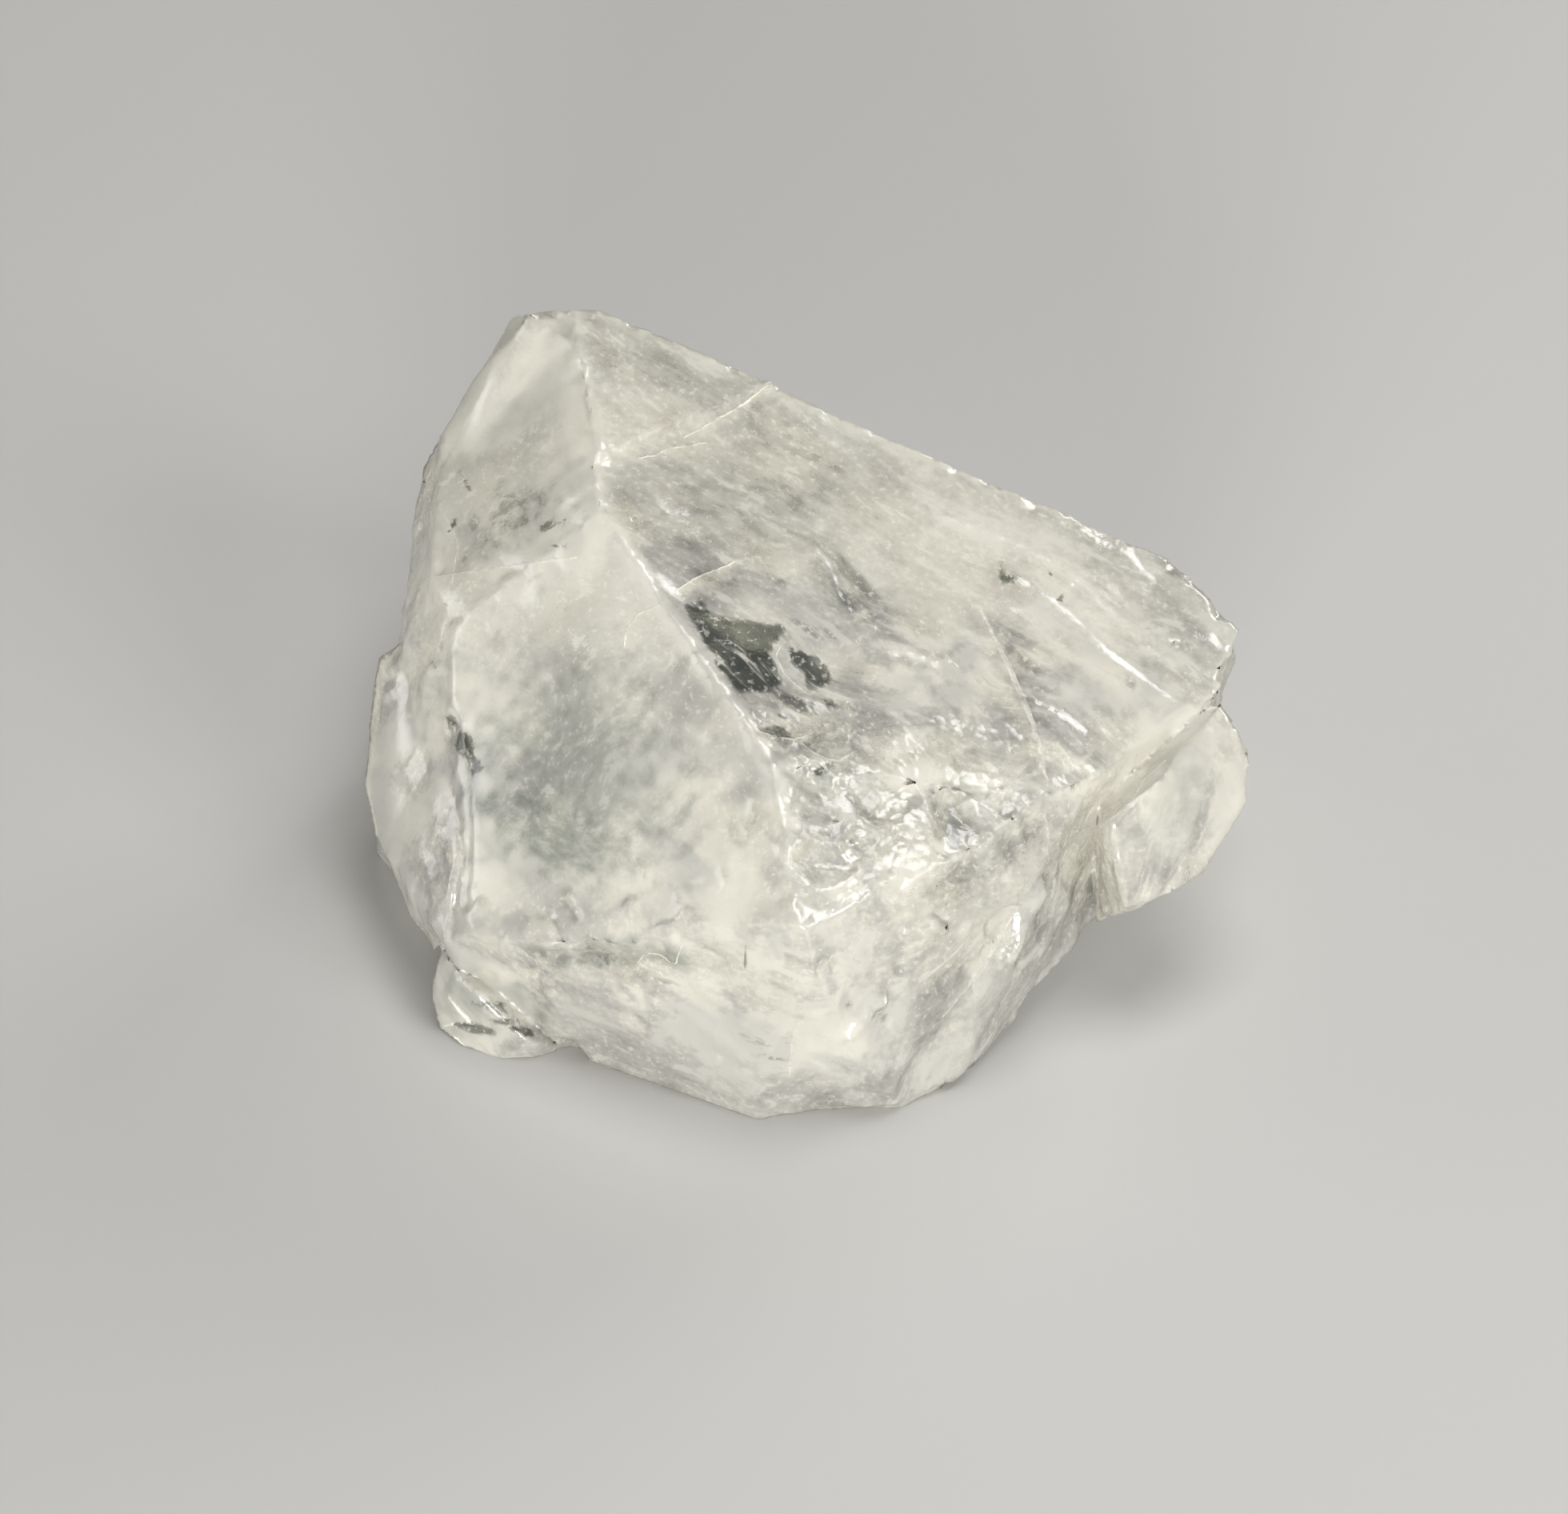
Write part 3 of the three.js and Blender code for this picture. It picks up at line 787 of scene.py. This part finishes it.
# %% Patterns, from clouds of 2 mm down to sand
CLOUD = {"Scale": 1 / (2.2 * MM), "Detail": 5.0, "Roughness": 0.62}
WISP = {"Scale": 1 / (0.7 * MM), "Detail": 3.0, "Roughness": 0.65}
GRIT = {"Scale": 1 / (0.3 * MM), "Detail": 2.0, "Roughness": 0.6}  # coarser than real grit, to show
CHIP_SIZE = {"Scale": 1 / (0.45 * MM)}
NO_WISP = 0.5  # the middle of the pattern, which stands in where the grain isn't whole

clouds = add(tree, "TexNoise", CLOUD, Vector=place)
grained = add(tree, "TexNoise", WISP, Vector=grain)
wisps = add(tree, "Mix", {"data_type": "FLOAT", 2: NO_WISP}, _0=masks["whole"], _3=grained)
sand = add(tree, "TexNoise", GRIT, Vector=place)
chips = add(tree, "TexVoronoi", CHIP_SIZE, Vector=place)
print("patterns:", ", ".join(pattern.bl_idname for pattern in (clouds, grained, sand, chips)))

# %% How thick the haze is
# Most of a pattern lies between 0.3 and 0.7. Each span says what its low and its high end add.
FROSTED_CALM = 0.3  # share of the mottling that is left where the skin is frosted

soft_mottle = add(tree, "MapRange", span(0.3, 0.7, -0.11, 0.11), Value=clouds)
streaked_mottle = add(tree, "MapRange", span(0.35, 0.7, -0.12, 0.12), Value=wisps)
sandy_mottle = add(tree, "MapRange", span(0.35, 0.65, -0.07, 0.07), Value=sand)
calm = add(tree, "MapRange", span(0.0, 1.0, 1.0, FROSTED_CALM), Value=masks["frost"])
dust = add(tree, "MapRange", span(0.61, 0.7, 0.0, 0.3), Value=sand)
flecks = add(tree, "MapRange", span(0.6, 0.72, 0.0, 0.5), Value=wisps)

large_mottle = add(tree, "Math", PLUS, _0=soft_mottle, _1=streaked_mottle)
mottle = add(tree, "Math", PLUS, _0=large_mottle, _1=sandy_mottle)
calmed = add(tree, "Math", TIMES, _0=mottle, _1=calm)
mottled_haze = add(tree, "Math", PLUS, _0=masks["haze"], _1=calmed)
specks = add(tree, "Math", PLUS, _0=dust, _1=flecks)
thick = add(tree, "Math", PLUS | HELD, _0=mottled_haze, _1=specks)
print("haze, mottling and specks:", len(tree.nodes), "nodes so far")

# %% How far a window is open
# Streaks fray its outline, and bubbles and flecks stay white in it.
streaks = add(tree, "MapRange", span(0.35, 0.65, 0.28, -0.28), Value=wisps)
streaked_window = add(tree, "Math", PLUS, _0=masks["window"], _1=streaks)
frayed_window = add(tree, "MapRange", span(0.3, 0.75, 0.0, 1.0), Value=streaked_window)
window_weight = add(tree, "MapRange", span(0.2, 0.9, 0.3, 1.0), Value=masks["window"])
bubbles = add(tree, "MapRange", span(0.56, 0.64, 0.0, 0.6), Value=sand)

opened = add(tree, "Math", TIMES, _0=frayed_window, _1=window_weight)
white_grains = add(tree, "Math", PLUS, _0=flecks, _1=bubbles)
clear = add(tree, "Math", {"operation": "SUBTRACT"} | HELD, _0=opened, _1=white_grains)
print("with the windows:", len(tree.nodes), "nodes")

# %% Transmission and colour
CLEAR = 0.88  # share of light that a window lets through
LEAST_HAZE = 0.95  # what the clearest of the cloudy skin lets through
MOST_HAZE = 0.52  # and the cloudiest
MILKY = linear("#fcf9ed")
# painted shade: the grey that the grey clouds darken the milky colour towards
PAINTED_SHADE_GREY = linear("#b3b7ac")
WINDOW_PAINTED_SHADE = linear("#a0a59a")  # painted shade: a grey tint that stands in for the dark inside seen through a clear window

milky = add(tree, "MapRange", span(0.0, 1.0, LEAST_HAZE, MOST_HAZE), Value=thick)
clearness = add(tree, "Mix", {"data_type": "FLOAT", 3: CLEAR}, _0=clear, _2=milky)
# Painted shade: the grey clouds, frayed by streaks, darken the milky colour.
painted_shade_streaks = add(tree, "MapRange", span(0.38, 0.62, 1.25, 0.65), Value=wisps)
painted_shade_cloud = add(tree, "Math", TIMES | HELD, _0=masks["painted_shade"], _1=painted_shade_streaks)
milky_with_painted_shade = add(tree, "Mix", {"data_type": "RGBA", 6: MILKY, 7: PAINTED_SHADE_GREY}, _0=painted_shade_cloud).outputs[2]
# Painted shade: the windows get a grey tint over the milky colour and its grey clouds.
tint = add(tree, "Mix", {"data_type": "RGBA", 7: WINDOW_PAINTED_SHADE}, _0=clear, _6=milky_with_painted_shade).outputs[2]
print("with the colours:", len(tree.nodes), "nodes")

# %% Polish, chips and the shader
# A fresh break is polished in some places and satin in others, and a hackly one is more satin.
IOR = 1.62
FROSTED = 0.22  # roughness of the ground faces
CHIP_STRENGTH = 0.45
CHIP_DEPTH = 0.09 * MM
SAND_STRENGTH = 0.3
SAND_DEPTH = 0.04 * MM

polish = add(tree, "MapRange", span(0.4, 0.7, 0.1, 0.26), Value=clouds)
satin = add(tree, "MapRange", span(0.4, 1.0, 0.0, 0.08), Value=masks["hackle"])
broken = add(tree, "Math", PLUS, _0=polish, _1=satin)
roughness = add(tree, "Mix", {"data_type": "FLOAT", 3: FROSTED}, _0=masks["frost"], _2=broken)
chipped = add(tree, "Math", TIMES | {1: CHIP_STRENGTH}, _0=masks["hackle"])
sharp_chips = add(tree, "Bump", {"Distance": CHIP_DEPTH}, Height=chips, Strength=chipped)
fine_sand = {"Strength": SAND_STRENGTH, "Distance": SAND_DEPTH}
bump = add(tree, "Bump", fine_sand, Height=sand, Normal=sharp_chips)
shader = add(
    tree, "BsdfPrincipled", {"IOR": IOR},
    Base_Color=tint, Roughness=roughness, Transmission_Weight=clearness, Normal=bump,
)
add(tree, "OutputMaterial", Surface=shader)
print("colourless topaz:", len(tree.nodes), "nodes")

# %% The crystal piece
crystal = bpy.data.objects.new("crystal_body", skin)
collection.objects.link(crystal)
skin.materials.clear()
skin.materials.append(topaz)
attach(crystal, "root")
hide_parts("topaz_crystal")
print(crystal.name, "has", sum(len(face.vertices) - 2 for face in skin.polygons), "triangles")

# %% [markdown]
# ## The healed cracks inside
#
# Most of the stone's whiteness lies inside it. Cracks that opened while it grew have healed
# into veils of tiny bubbles. White paint on the skin would look like porcelain, and a volume
# that scatters light is slow and doesn't leave Blender. Real sheets hung inside the clear body
# give what the eye looks for: depth, layers, and wisps that shift behind one another. Each
# veil is a bent, lobed disk. Under the windows there is a space with no veils.

# %% Clear pockets
INTO_TOP = (-0.10, 0.54, -0.84)  # the way that sight bends into the top face, seen from the front
INTO_LEFT = (0.20, 0.69, -0.70)
POCKETS = [
    # where sight goes in, its way inside, and the pocket's radius and length in mm
    ((-4.3, -3.6, 18.3), INTO_TOP, 1.9, 10.0),
    ((-2.9, -5.0, 17.8), INTO_TOP, 2.4, 10.0),
    ((-0.9, -4.3, 17.4), INTO_TOP, 2.3, 9.0),
    ((0.9, -3.4, 17.0), INTO_TOP, 1.6, 8.0),
    ((1.6, -0.4, 17.3), INTO_TOP, 1.0, 5.0),
    ((-12.8, 3.6, 17.9), INTO_LEFT, 1.6, 5.0),
    ((-11.2, -7.6, 11.1), INTO_LEFT, 2.4, 5.0),
    ((-15.0, -4.0, 11.2), INTO_LEFT, 1.1, 6.0),
]


def room_around(at, pocket):
    """How far points lie outside a pocket: the distance from its line, less its radius."""
    start, way, radius, length = pocket
    offset = at - np.array(start)
    along = np.clip(offset @ unit(way), -1.0, length)
    return np.linalg.norm(offset - along[..., None] * unit(way), axis=-1) - radius


print("clear pockets:", len(POCKETS))

# %% [markdown]
# ### How deep a point lies
#
# A veil that stuck out of the stone would look like a torn sail. The planes of the faces give a
# quick test for thousands of points at once. But they know nothing of the scars and chips, so
# the veils that pass are tested again on the real skin, with a search tree, which takes one
# point at a time.

# %% Two tests of depth
skin_finder = BVHTree.FromObject(crystal, bpy.context.evaluated_depsgraph_get())
STRAIGHT_UP = Vector((0.0, 0.0, 1.0))


def depth_inside(at):
    """How deep points lie by the planes: the least depth below a face, or the depth in a lobe's ball."""
    body = np.min([depth_below(face, at) for face in FACES if face != "summit"], axis=0)
    return np.maximum(body, inside_lobes(at))


def under_skin(at):
    """How deep points lie under the real skin in mm, and the skin's nearest place and its normal.

    The depth is the distance to that place, and less than nought outside. A ray straight up tells in
    from out: from inside, it meets the skin from behind.
    """
    single = [Vector(point) for point in at.reshape(-1, 3) * MM]
    hits = [skin_finder.find_nearest(point) for point in single]
    rays = [skin_finder.ray_cast(point, STRAIGHT_UP)[1] for point in single]
    inside = np.array([normal is not None and normal.z > 0.0 for normal in rays])
    depth = np.array([hit[3] for hit in hits]) / MM * np.where(inside, 1.0, -1.0)
    nearest = np.array([hit[0] for hit in hits]) / MM
    normals = np.array([hit[1] for hit in hits])
    return depth.reshape(at.shape[:-1]), nearest.reshape(at.shape), normals.reshape(at.shape)


print(f"a point 9 mm above the base lies {depth_inside(np.array([0.0, 0.0, 9.0])):.1f} mm deep")

# %% [markdown]
# ### The veils' places and shapes
#
# Far more veils than needed are thrown into the stone's box, and those that don't fit are left
# out. Most are small. They lean the way of the faces, because healed cracks follow the same
# planes that the crystal breaks along. One in five is as narrow as a needle, which reads as a
# fine scratch of light.

# %% Where the veils lie
TRIES = 2800  # veils thrown into the stone, of which those that fit are kept
THROW_LOW = (-19.0, -16.0, 0.6)
THROW_HIGH = (19.0, 15.0, 22.0)
SMALLEST = 0.5  # mm, the least radius of a veil
LARGER = 3.6  # mm, what the largest has on top
LEANINGS = np.array([
    # the way that each kind of veil looks, close to that of a face
    (-0.50, -0.54, 0.68),
    (0.21, -0.52, 0.83),
    (0.50, -0.85, 0.10),
    (0.24, -0.18, 0.96),
    (-0.38, -0.92, 0.0),
])

veil_dice = np.random.default_rng(77)
middles = veil_dice.uniform(THROW_LOW, THROW_HIGH, (TRIES, 3))
radii = SMALLEST + LARGER * veil_dice.uniform(0.0, 1.0, TRIES) ** 1.8
looks = LEANINGS[veil_dice.integers(0, len(LEANINGS), TRIES)] + veil_dice.normal(0.0, 0.3, (TRIES, 3))
looks /= np.linalg.norm(looks, axis=1, keepdims=True)
sides = np.cross(looks, veil_dice.normal(size=(TRIES, 3)))
sides /= np.linalg.norm(sides, axis=1, keepdims=True)
others = np.cross(looks, sides)
print(f"veils thrown: {TRIES}, half of them under {np.median(radii):.1f} mm in radius")

# %% A sheet for every veil
SHEET = 8  # points along each side of a veil's grid
FULL_TURN = 6.28  # radians, near enough for a start by chance
NEEDLES = 0.2  # share of the veils that are needles
NEEDLE_WIDTH = 0.07  # of their length

grid_line = np.linspace(-1.0, 1.0, SHEET)
grid_x, grid_y = np.meshgrid(grid_line, grid_line, indexing="ij")
disk_x = grid_x * np.sqrt(1.0 - 0.5 * grid_y * grid_y)
disk_y = grid_y * np.sqrt(1.0 - 0.5 * grid_x * grid_x)
from_middle = disk_x * disk_x + disk_y * disk_y
round_angle = np.arctan2(disk_y, disk_x)


def spread(values):
    """One number for each sheet, shaped to act on every point of its grid."""
    return values[:, None, None]


lobed = 1.0 + 0.22 * np.sin(3.0 * round_angle + spread(veil_dice.uniform(0.0, FULL_TURN, TRIES)))
lobed += 0.12 * np.sin(5.0 * round_angle + spread(veil_dice.uniform(0.0, FULL_TURN, TRIES)))
ripple = np.sin(4.0 * disk_x + spread(veil_dice.uniform(0.0, FULL_TURN, TRIES)))
rise = spread(radii) * (0.25 * (1.0 - from_middle) + 0.08 * ripple)
is_needle = veil_dice.uniform(size=TRIES) < NEEDLES
narrow = np.where(is_needle, NEEDLE_WIDTH, veil_dice.uniform(0.35, 1.0, TRIES))
sheets = (
    middles[:, None, None]
    + (spread(radii) * lobed * disk_x)[..., None] * sides[:, None, None]
    + (spread(radii) * lobed * disk_y * spread(narrow))[..., None] * others[:, None, None]
    + rise[..., None] * looks[:, None, None]
)
print("points in all sheets:", sheets.size // 3)

# %% The veils that fit
SHALLOW = 4.0  # mm, the deepest that the middle of a veil may lie, since deeper ones are never seen
PLANE_MARGIN = 0.25  # mm that every point of a veil keeps from the planes
SKIN_MARGIN = 0.12  # mm that it keeps from the real skin
NEEDLE_STRENGTH = 0.6  # of the whiteness of a broad veil

fits = depth_inside(sheets).min(axis=(1, 2)) > PLANE_MARGIN
fits &= depth_inside(middles) < SHALLOW
fits &= np.min([room_around(sheets, pocket).min(axis=(1, 2)) for pocket in POCKETS], axis=0) > 0.0
fits[fits] = under_skin(sheets[fits])[0].min(axis=(1, 2)) > SKIN_MARGIN
sheets = sheets[fits]
strength = (veil_dice.uniform(0.15, 1.0, TRIES) * np.where(is_needle, NEEDLE_STRENGTH, 1.0))[fits]
print("veils kept:", len(sheets))


# %% The veils' mesh
def sheet_mesh(name, grids, whiteness):
    """One mesh of many grids of points, each a sheet of squares, with how white each point is."""
    number = np.arange(grids.size // 3).reshape(grids.shape[:3])
    corners = (number[:, :-1, :-1], number[:, 1:, :-1], number[:, 1:, 1:], number[:, :-1, 1:])
    mesh = bpy.data.meshes.new(name)
    mesh.from_pydata(grids.reshape(-1, 3) * MM, [], np.stack(corners, axis=-1).reshape(-1, 4))
    keep(mesh, "white", whiteness.ravel())
    mesh.shade_smooth()
    return mesh


def hang(mesh, thickness, material):
    """Hangs a mesh of sheets in the stone, with a thickness in mm."""
    piece = bpy.data.objects.new(mesh.name, mesh)
    collection.objects.link(piece)
    shell = piece.modifiers.new("thickness", "SOLIDIFY")
    shell.thickness = thickness * MM
    shell.offset = 0.0
    mesh.materials.append(material)
    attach(piece, "root")


veil_mesh = sheet_mesh("healed_cracks", sheets, spread(strength) * (1.0 - from_middle))
print("the veils' mesh:", len(veil_mesh.polygons), "squares")

# %% [markdown]
# ### The finish of the veils
#
# A healed crack is a film of tiny bubbles, white where they crowd and nothing where they thin
# out. So the veil is plain white, and a fine pattern sets how much of it is there at all.

# %% Healed cracks
VEIL_THICKNESS = 0.03  # mm
VEIL_WISP = {"Scale": 1 / (0.7 * MM), "Detail": 3.0, "Roughness": 0.72}

healed_crack, veil_tree = new_material("healed_crack")
veil_place = add(veil_tree, "TexCoord").outputs["Object"]
whiteness = add(veil_tree, "Attribute", {"attribute_name": "white"}).outputs["Fac"]
veil_wisps = add(veil_tree, "TexNoise", VEIL_WISP, Vector=veil_place)
bubbly = add(veil_tree, "Math", TIMES, _0=veil_wisps, _1=whiteness)
cover = add(veil_tree, "MapRange", span(0.1, 0.36, 0.0, 0.85), Value=bubbly)
veil_white = {"Base Color": linear("#fcf9ec"), "Roughness": 0.35}
veil_shader = add(veil_tree, "BsdfPrincipled", veil_white, Alpha=cover)
add(veil_tree, "OutputMaterial", Surface=veil_shader)
hang(veil_mesh, VEIL_THICKNESS, healed_crack)
print("healed crack:", len(veil_tree.nodes), "nodes")

# %% [markdown]
# ## Cracks that reach the skin
#
# A few cracks come up to the skin and show as fine white lines, each with a pale veil that
# dips into the stone beside it. Such a crack is a ribbon: one edge follows a line on the skin,
# and the other sinks into the stone, leaning to one side. The line is given by where it is
# seen from the front, and each of its points is laid on the nearest vertices of the skin.

# %% The lines of the cracks
CRACKS = [
    # how white (0 to 1), how deep it sinks (mm), how far it leans (degrees),
    # and its line: (right, up) from the middle, mm
    (0.45, 1.6, 60, [(-16.4, 8.0), (-13.0, 8.5), (-11.0, 8.8), (-9.3, 9.0)]),
    (0.60, 1.2, 60, [(-4.9, 7.4), (-4.0, 8.0), (-3.2, 8.4), (-2.2, 8.8)]),
    (0.55, 0.9, 65, [(-7.2, 4.9), (-7.1, 5.8), (-6.5, 6.5), (-5.6, 6.8)]),
    (0.36, 2.0, 82, [(8.7, 7.0), (9.4, 5.6), (10.3, 3.9), (11.1, 2.0), (11.6, 0.5), (11.9, -1.4)]),
    (0.55, 0.7, 82, [(-4.5, 14.3), (-3.2, 15.1), (-2.0, 15.8), (-0.7, 16.7)]),
    (0.50, 0.8, 70, [(-6.5, 13.4), (-5.0, 13.9), (-3.4, 14.1)]),
    (0.50, 0.9, 60, [(-6.7, -9.4), (-6.3, -8.8), (-5.7, -8.8), (-4.9, -9.3), (-4.6, -8.5)]),
    (0.35, 1.0, 50, [(0.2, -14.5), (0.3, -12.7), (0.7, -11.8), (1.1, -12.2)]),
    (0.35, 1.4, 65, [(11.7, -2.5), (12.0, -3.6), (11.6, -5.0), (10.4, -7.0), (8.9, -9.6), (7.1, -11.7)]),
    (0.35, 1.2, 65, [(17.2, -0.1), (16.1, -1.1), (15.6, -2.2), (14.6, -3.0), (14.2, -2.6)]),
    (0.35, 0.6, 80, [(-0.1, 5.1), (-0.3, 4.5), (0.0, 3.8), (0.6, 3.2), (1.3, 2.7)]),
    (0.40, 1.0, 65, [(-2.0, 1.9), (-1.0, 1.1), (0.3, 0.8), (1.3, 1.1)]),
    (0.40, 1.0, 65, [(0.7, 0.7), (1.5, 0.1), (2.4, -0.2), (3.2, 0.3)]),
    (0.30, 0.8, 60, [(-15.3, 11.0), (-14.6, 9.6), (-14.9, 7.8)]),
]
print("cracks that reach the skin:", len(CRACKS))

# %% Laying a line on the skin
NEAREST = 8  # vertices that a place is laid on
SAME_SKIN = 1.0  # mm, and those further behind the foremost belong to another part of the skin
EVEN_OUT = 0.02  # square mm, which keep a place from sticking to a single vertex

in_front = facing > 0.2
front_skin = moved[in_front]
front_normal = outward[in_front]
front_seen = np.stack([seen_right, seen_up], axis=1)[in_front]
front_near = seen_near[in_front]


def on_skin(places):
    """Lays places on the skin: the mean of the nearest vertices seen there, and of their normals.

    A vertex counts for more the nearer it is: one, divided by its squared distance and EVEN_OUT.
    """
    reach = ((front_seen[None] - places[:, None]) ** 2).sum(axis=2)
    chosen = np.argsort(reach, axis=1)[:, :NEAREST]
    behind = front_near[chosen].max(axis=1, keepdims=True) - front_near[chosen]
    weight = 1.0 / (EVEN_OUT + np.take_along_axis(reach, chosen, axis=1))
    weight = weight[..., None] * (behind < SAME_SKIN)[..., None]
    middle = (front_skin[chosen] * weight).sum(axis=1) / weight.sum(axis=1)
    normal = (front_normal[chosen] * weight).sum(axis=1)
    return middle, normal / np.linalg.norm(normal, axis=1, keepdims=True)


print("vertices in front:", len(front_skin))

# %% A ribbon for each crack
RIBBON_LONG = 26  # points along a ribbon
RIBBON_DEEP = 5  # points down it
LIFT = 0.02  # mm that a ribbon starts above the skin


def ribbon(depth, lean, line):
    """A crack: the line laid on the skin, then sunk along (cos lean) inwards + (sin lean) sideways."""
    corners = np.array(line)
    run = np.concatenate([[0.0], np.cumsum(np.linalg.norm(np.diff(corners, axis=0), axis=1))])
    share = np.linspace(0.0, 1.0, RIBBON_LONG)
    places = np.stack([np.interp(share * run[-1], run, corners[:, k]) for k in range(2)], axis=1)
    places[1:-1] = 0.25 * places[:-2] + 0.5 * places[1:-1] + 0.25 * places[2:]
    top, normal = on_skin(places)
    forward = np.gradient(top, axis=0)
    sideways = np.cross(forward, normal)
    sideways /= np.linalg.norm(sideways, axis=1, keepdims=True)
    angle = math.radians(lean)
    sinking = -math.cos(angle) * normal + math.sin(angle) * sideways
    reach = depth * (0.35 + 0.65 * np.sin(math.pi * share))
    down = np.linspace(0.0, 1.0, RIBBON_DEEP)
    return top[:, None] + normal[:, None] * LIFT + (reach[:, None] * down)[..., None] * sinking[:, None]


ribbons = np.stack([ribbon(*crack[1:]) for crack in CRACKS])
print("ribbons:", len(ribbons), "of", RIBBON_LONG, "by", RIBBON_DEEP, "points")

# %% Ribbons kept to the real skin
TOP_LIFT = 0.01  # mm that a ribbon's upper edge stands out of the skin
TUCK = 0.05  # mm, the least depth of the rest of it
CRACK_THICKNESS = 0.04  # mm

ribbon_depth, place_on_skin, normal_there = under_skin(ribbons)
ribbons[:, :, 0] = place_on_skin[:, :, 0] + TOP_LIFT * normal_there[:, :, 0]
strayed = ribbon_depth[:, :, 1:] < TUCK
tucked_in = place_on_skin[:, :, 1:] - TUCK * normal_there[:, :, 1:]
ribbons[:, :, 1:] = np.where(strayed[..., None], tucked_in, ribbons[:, :, 1:])
crack_white = spread(np.array([crack[0] for crack in CRACKS]))
fading = crack_white * np.linspace(1.1, 0.3, RIBBON_DEEP) * np.ones(ribbons.shape[:3])
crack_mesh = sheet_mesh("skin_cracks", ribbons, fading)
hang(crack_mesh, CRACK_THICKNESS, healed_crack)
print(f"ribbon points brought back under the skin: {strayed.mean():.0%}")

# %% [markdown]
# ## The studio
#
# A pale, plain floor throws light back up through the stone, and large soft lights keep the
# reflections broad. The stone is brightest low at the front, so a light stands there. The key
# light comes from the right, and a weak one from behind draws the far edge.

# %% Floor
FLOOR_SIDE = 2.0  # m

bpy.ops.mesh.primitive_plane_add(size=FLOOR_SIDE)
floor = bpy.context.object
floor.name = "floor"
pale_paper, paper_tree = new_material("pale_paper")
paper_shader = add(paper_tree, "BsdfPrincipled", {"Base Color": linear("#bab9b6"), "Roughness": 0.6})
add(paper_tree, "OutputMaterial", Surface=paper_shader)
floor.data.materials.append(pale_paper)
print("floor:", FLOOR_SIDE, "m wide")

# %% Lights
AIM = Vector((0.0, 0.0, 0.01))  # m, a point in the stone
LIGHTS = [
    # name, place in m, width in m, power in watts
    ("key", (0.24, -0.19, 0.25), 0.16, 0.44),
    ("front", (-0.02, -0.36, 0.07), 0.14, 1.3),
    ("left", (-0.36, 0.02, 0.07), 0.2, 0.3),
    ("overhead", (0.06, 0.0, 0.38), 0.2, 0.8),
    ("back", (0.26, 0.28, 0.18), 0.2, 0.65),
]


def soft_light(name, spot, width, watts):
    """A round area light that looks at the stone."""
    lamp = bpy.data.lights.new(name, "AREA")
    lamp.shape = "DISK"
    lamp.size = width
    lamp.energy = watts
    holder = bpy.data.objects.new(name, lamp)
    collection.objects.link(holder)
    holder.location = spot
    holder.rotation_euler = (AIM - Vector(spot)).to_track_quat("-Z", "Y").to_euler()


for light in LIGHTS:
    soft_light(*light)
print("lights:", ", ".join(light[0] for light in LIGHTS))

# %% The sky around, and how light is followed
# A ray may cross many veils before it leaves the stone, so more of its steps are followed.
world = bpy.data.worlds.new("studio")
world.use_nodes = True
world.node_tree.nodes["Background"].inputs["Color"].default_value = linear("#9a9a98")
world.node_tree.nodes["Background"].inputs["Strength"].default_value = 0.27
bpy.context.scene.world = world
bpy.context.scene.view_settings.view_transform = "Standard"
bpy.context.scene.cycles.transparent_max_bounces = 32
bpy.context.scene.cycles.glossy_bounces = 8
print("background light:", world.node_tree.nodes["Background"].inputs["Strength"].default_value)

# %% [markdown]
# ## The camera
#
# The camera stands where the cell on the view from the front has put it. A long lens keeps the
# stone's sides from flaring towards it.

# %% Camera
VIEW_WIDTH = 70.4  # mm across the picture at the target
SENSOR = 36.0  # mm
CLIP_START = 0.01  # m, well short of the stone

lens = bpy.data.cameras.new("camera")
lens.sensor_width = SENSOR
lens.lens = SENSOR * DISTANCE / VIEW_WIDTH
lens.clip_start = CLIP_START
camera = bpy.data.objects.new("camera", lens)
collection.objects.link(camera)
camera.location = (TARGET + DISTANCE * TOWARDS) * MM
camera.rotation_euler = (math.pi / 2 - ELEVATION, 0.0, 0.0)
bpy.context.scene.camera = camera
print(f"lens: {lens.lens:.0f} mm")
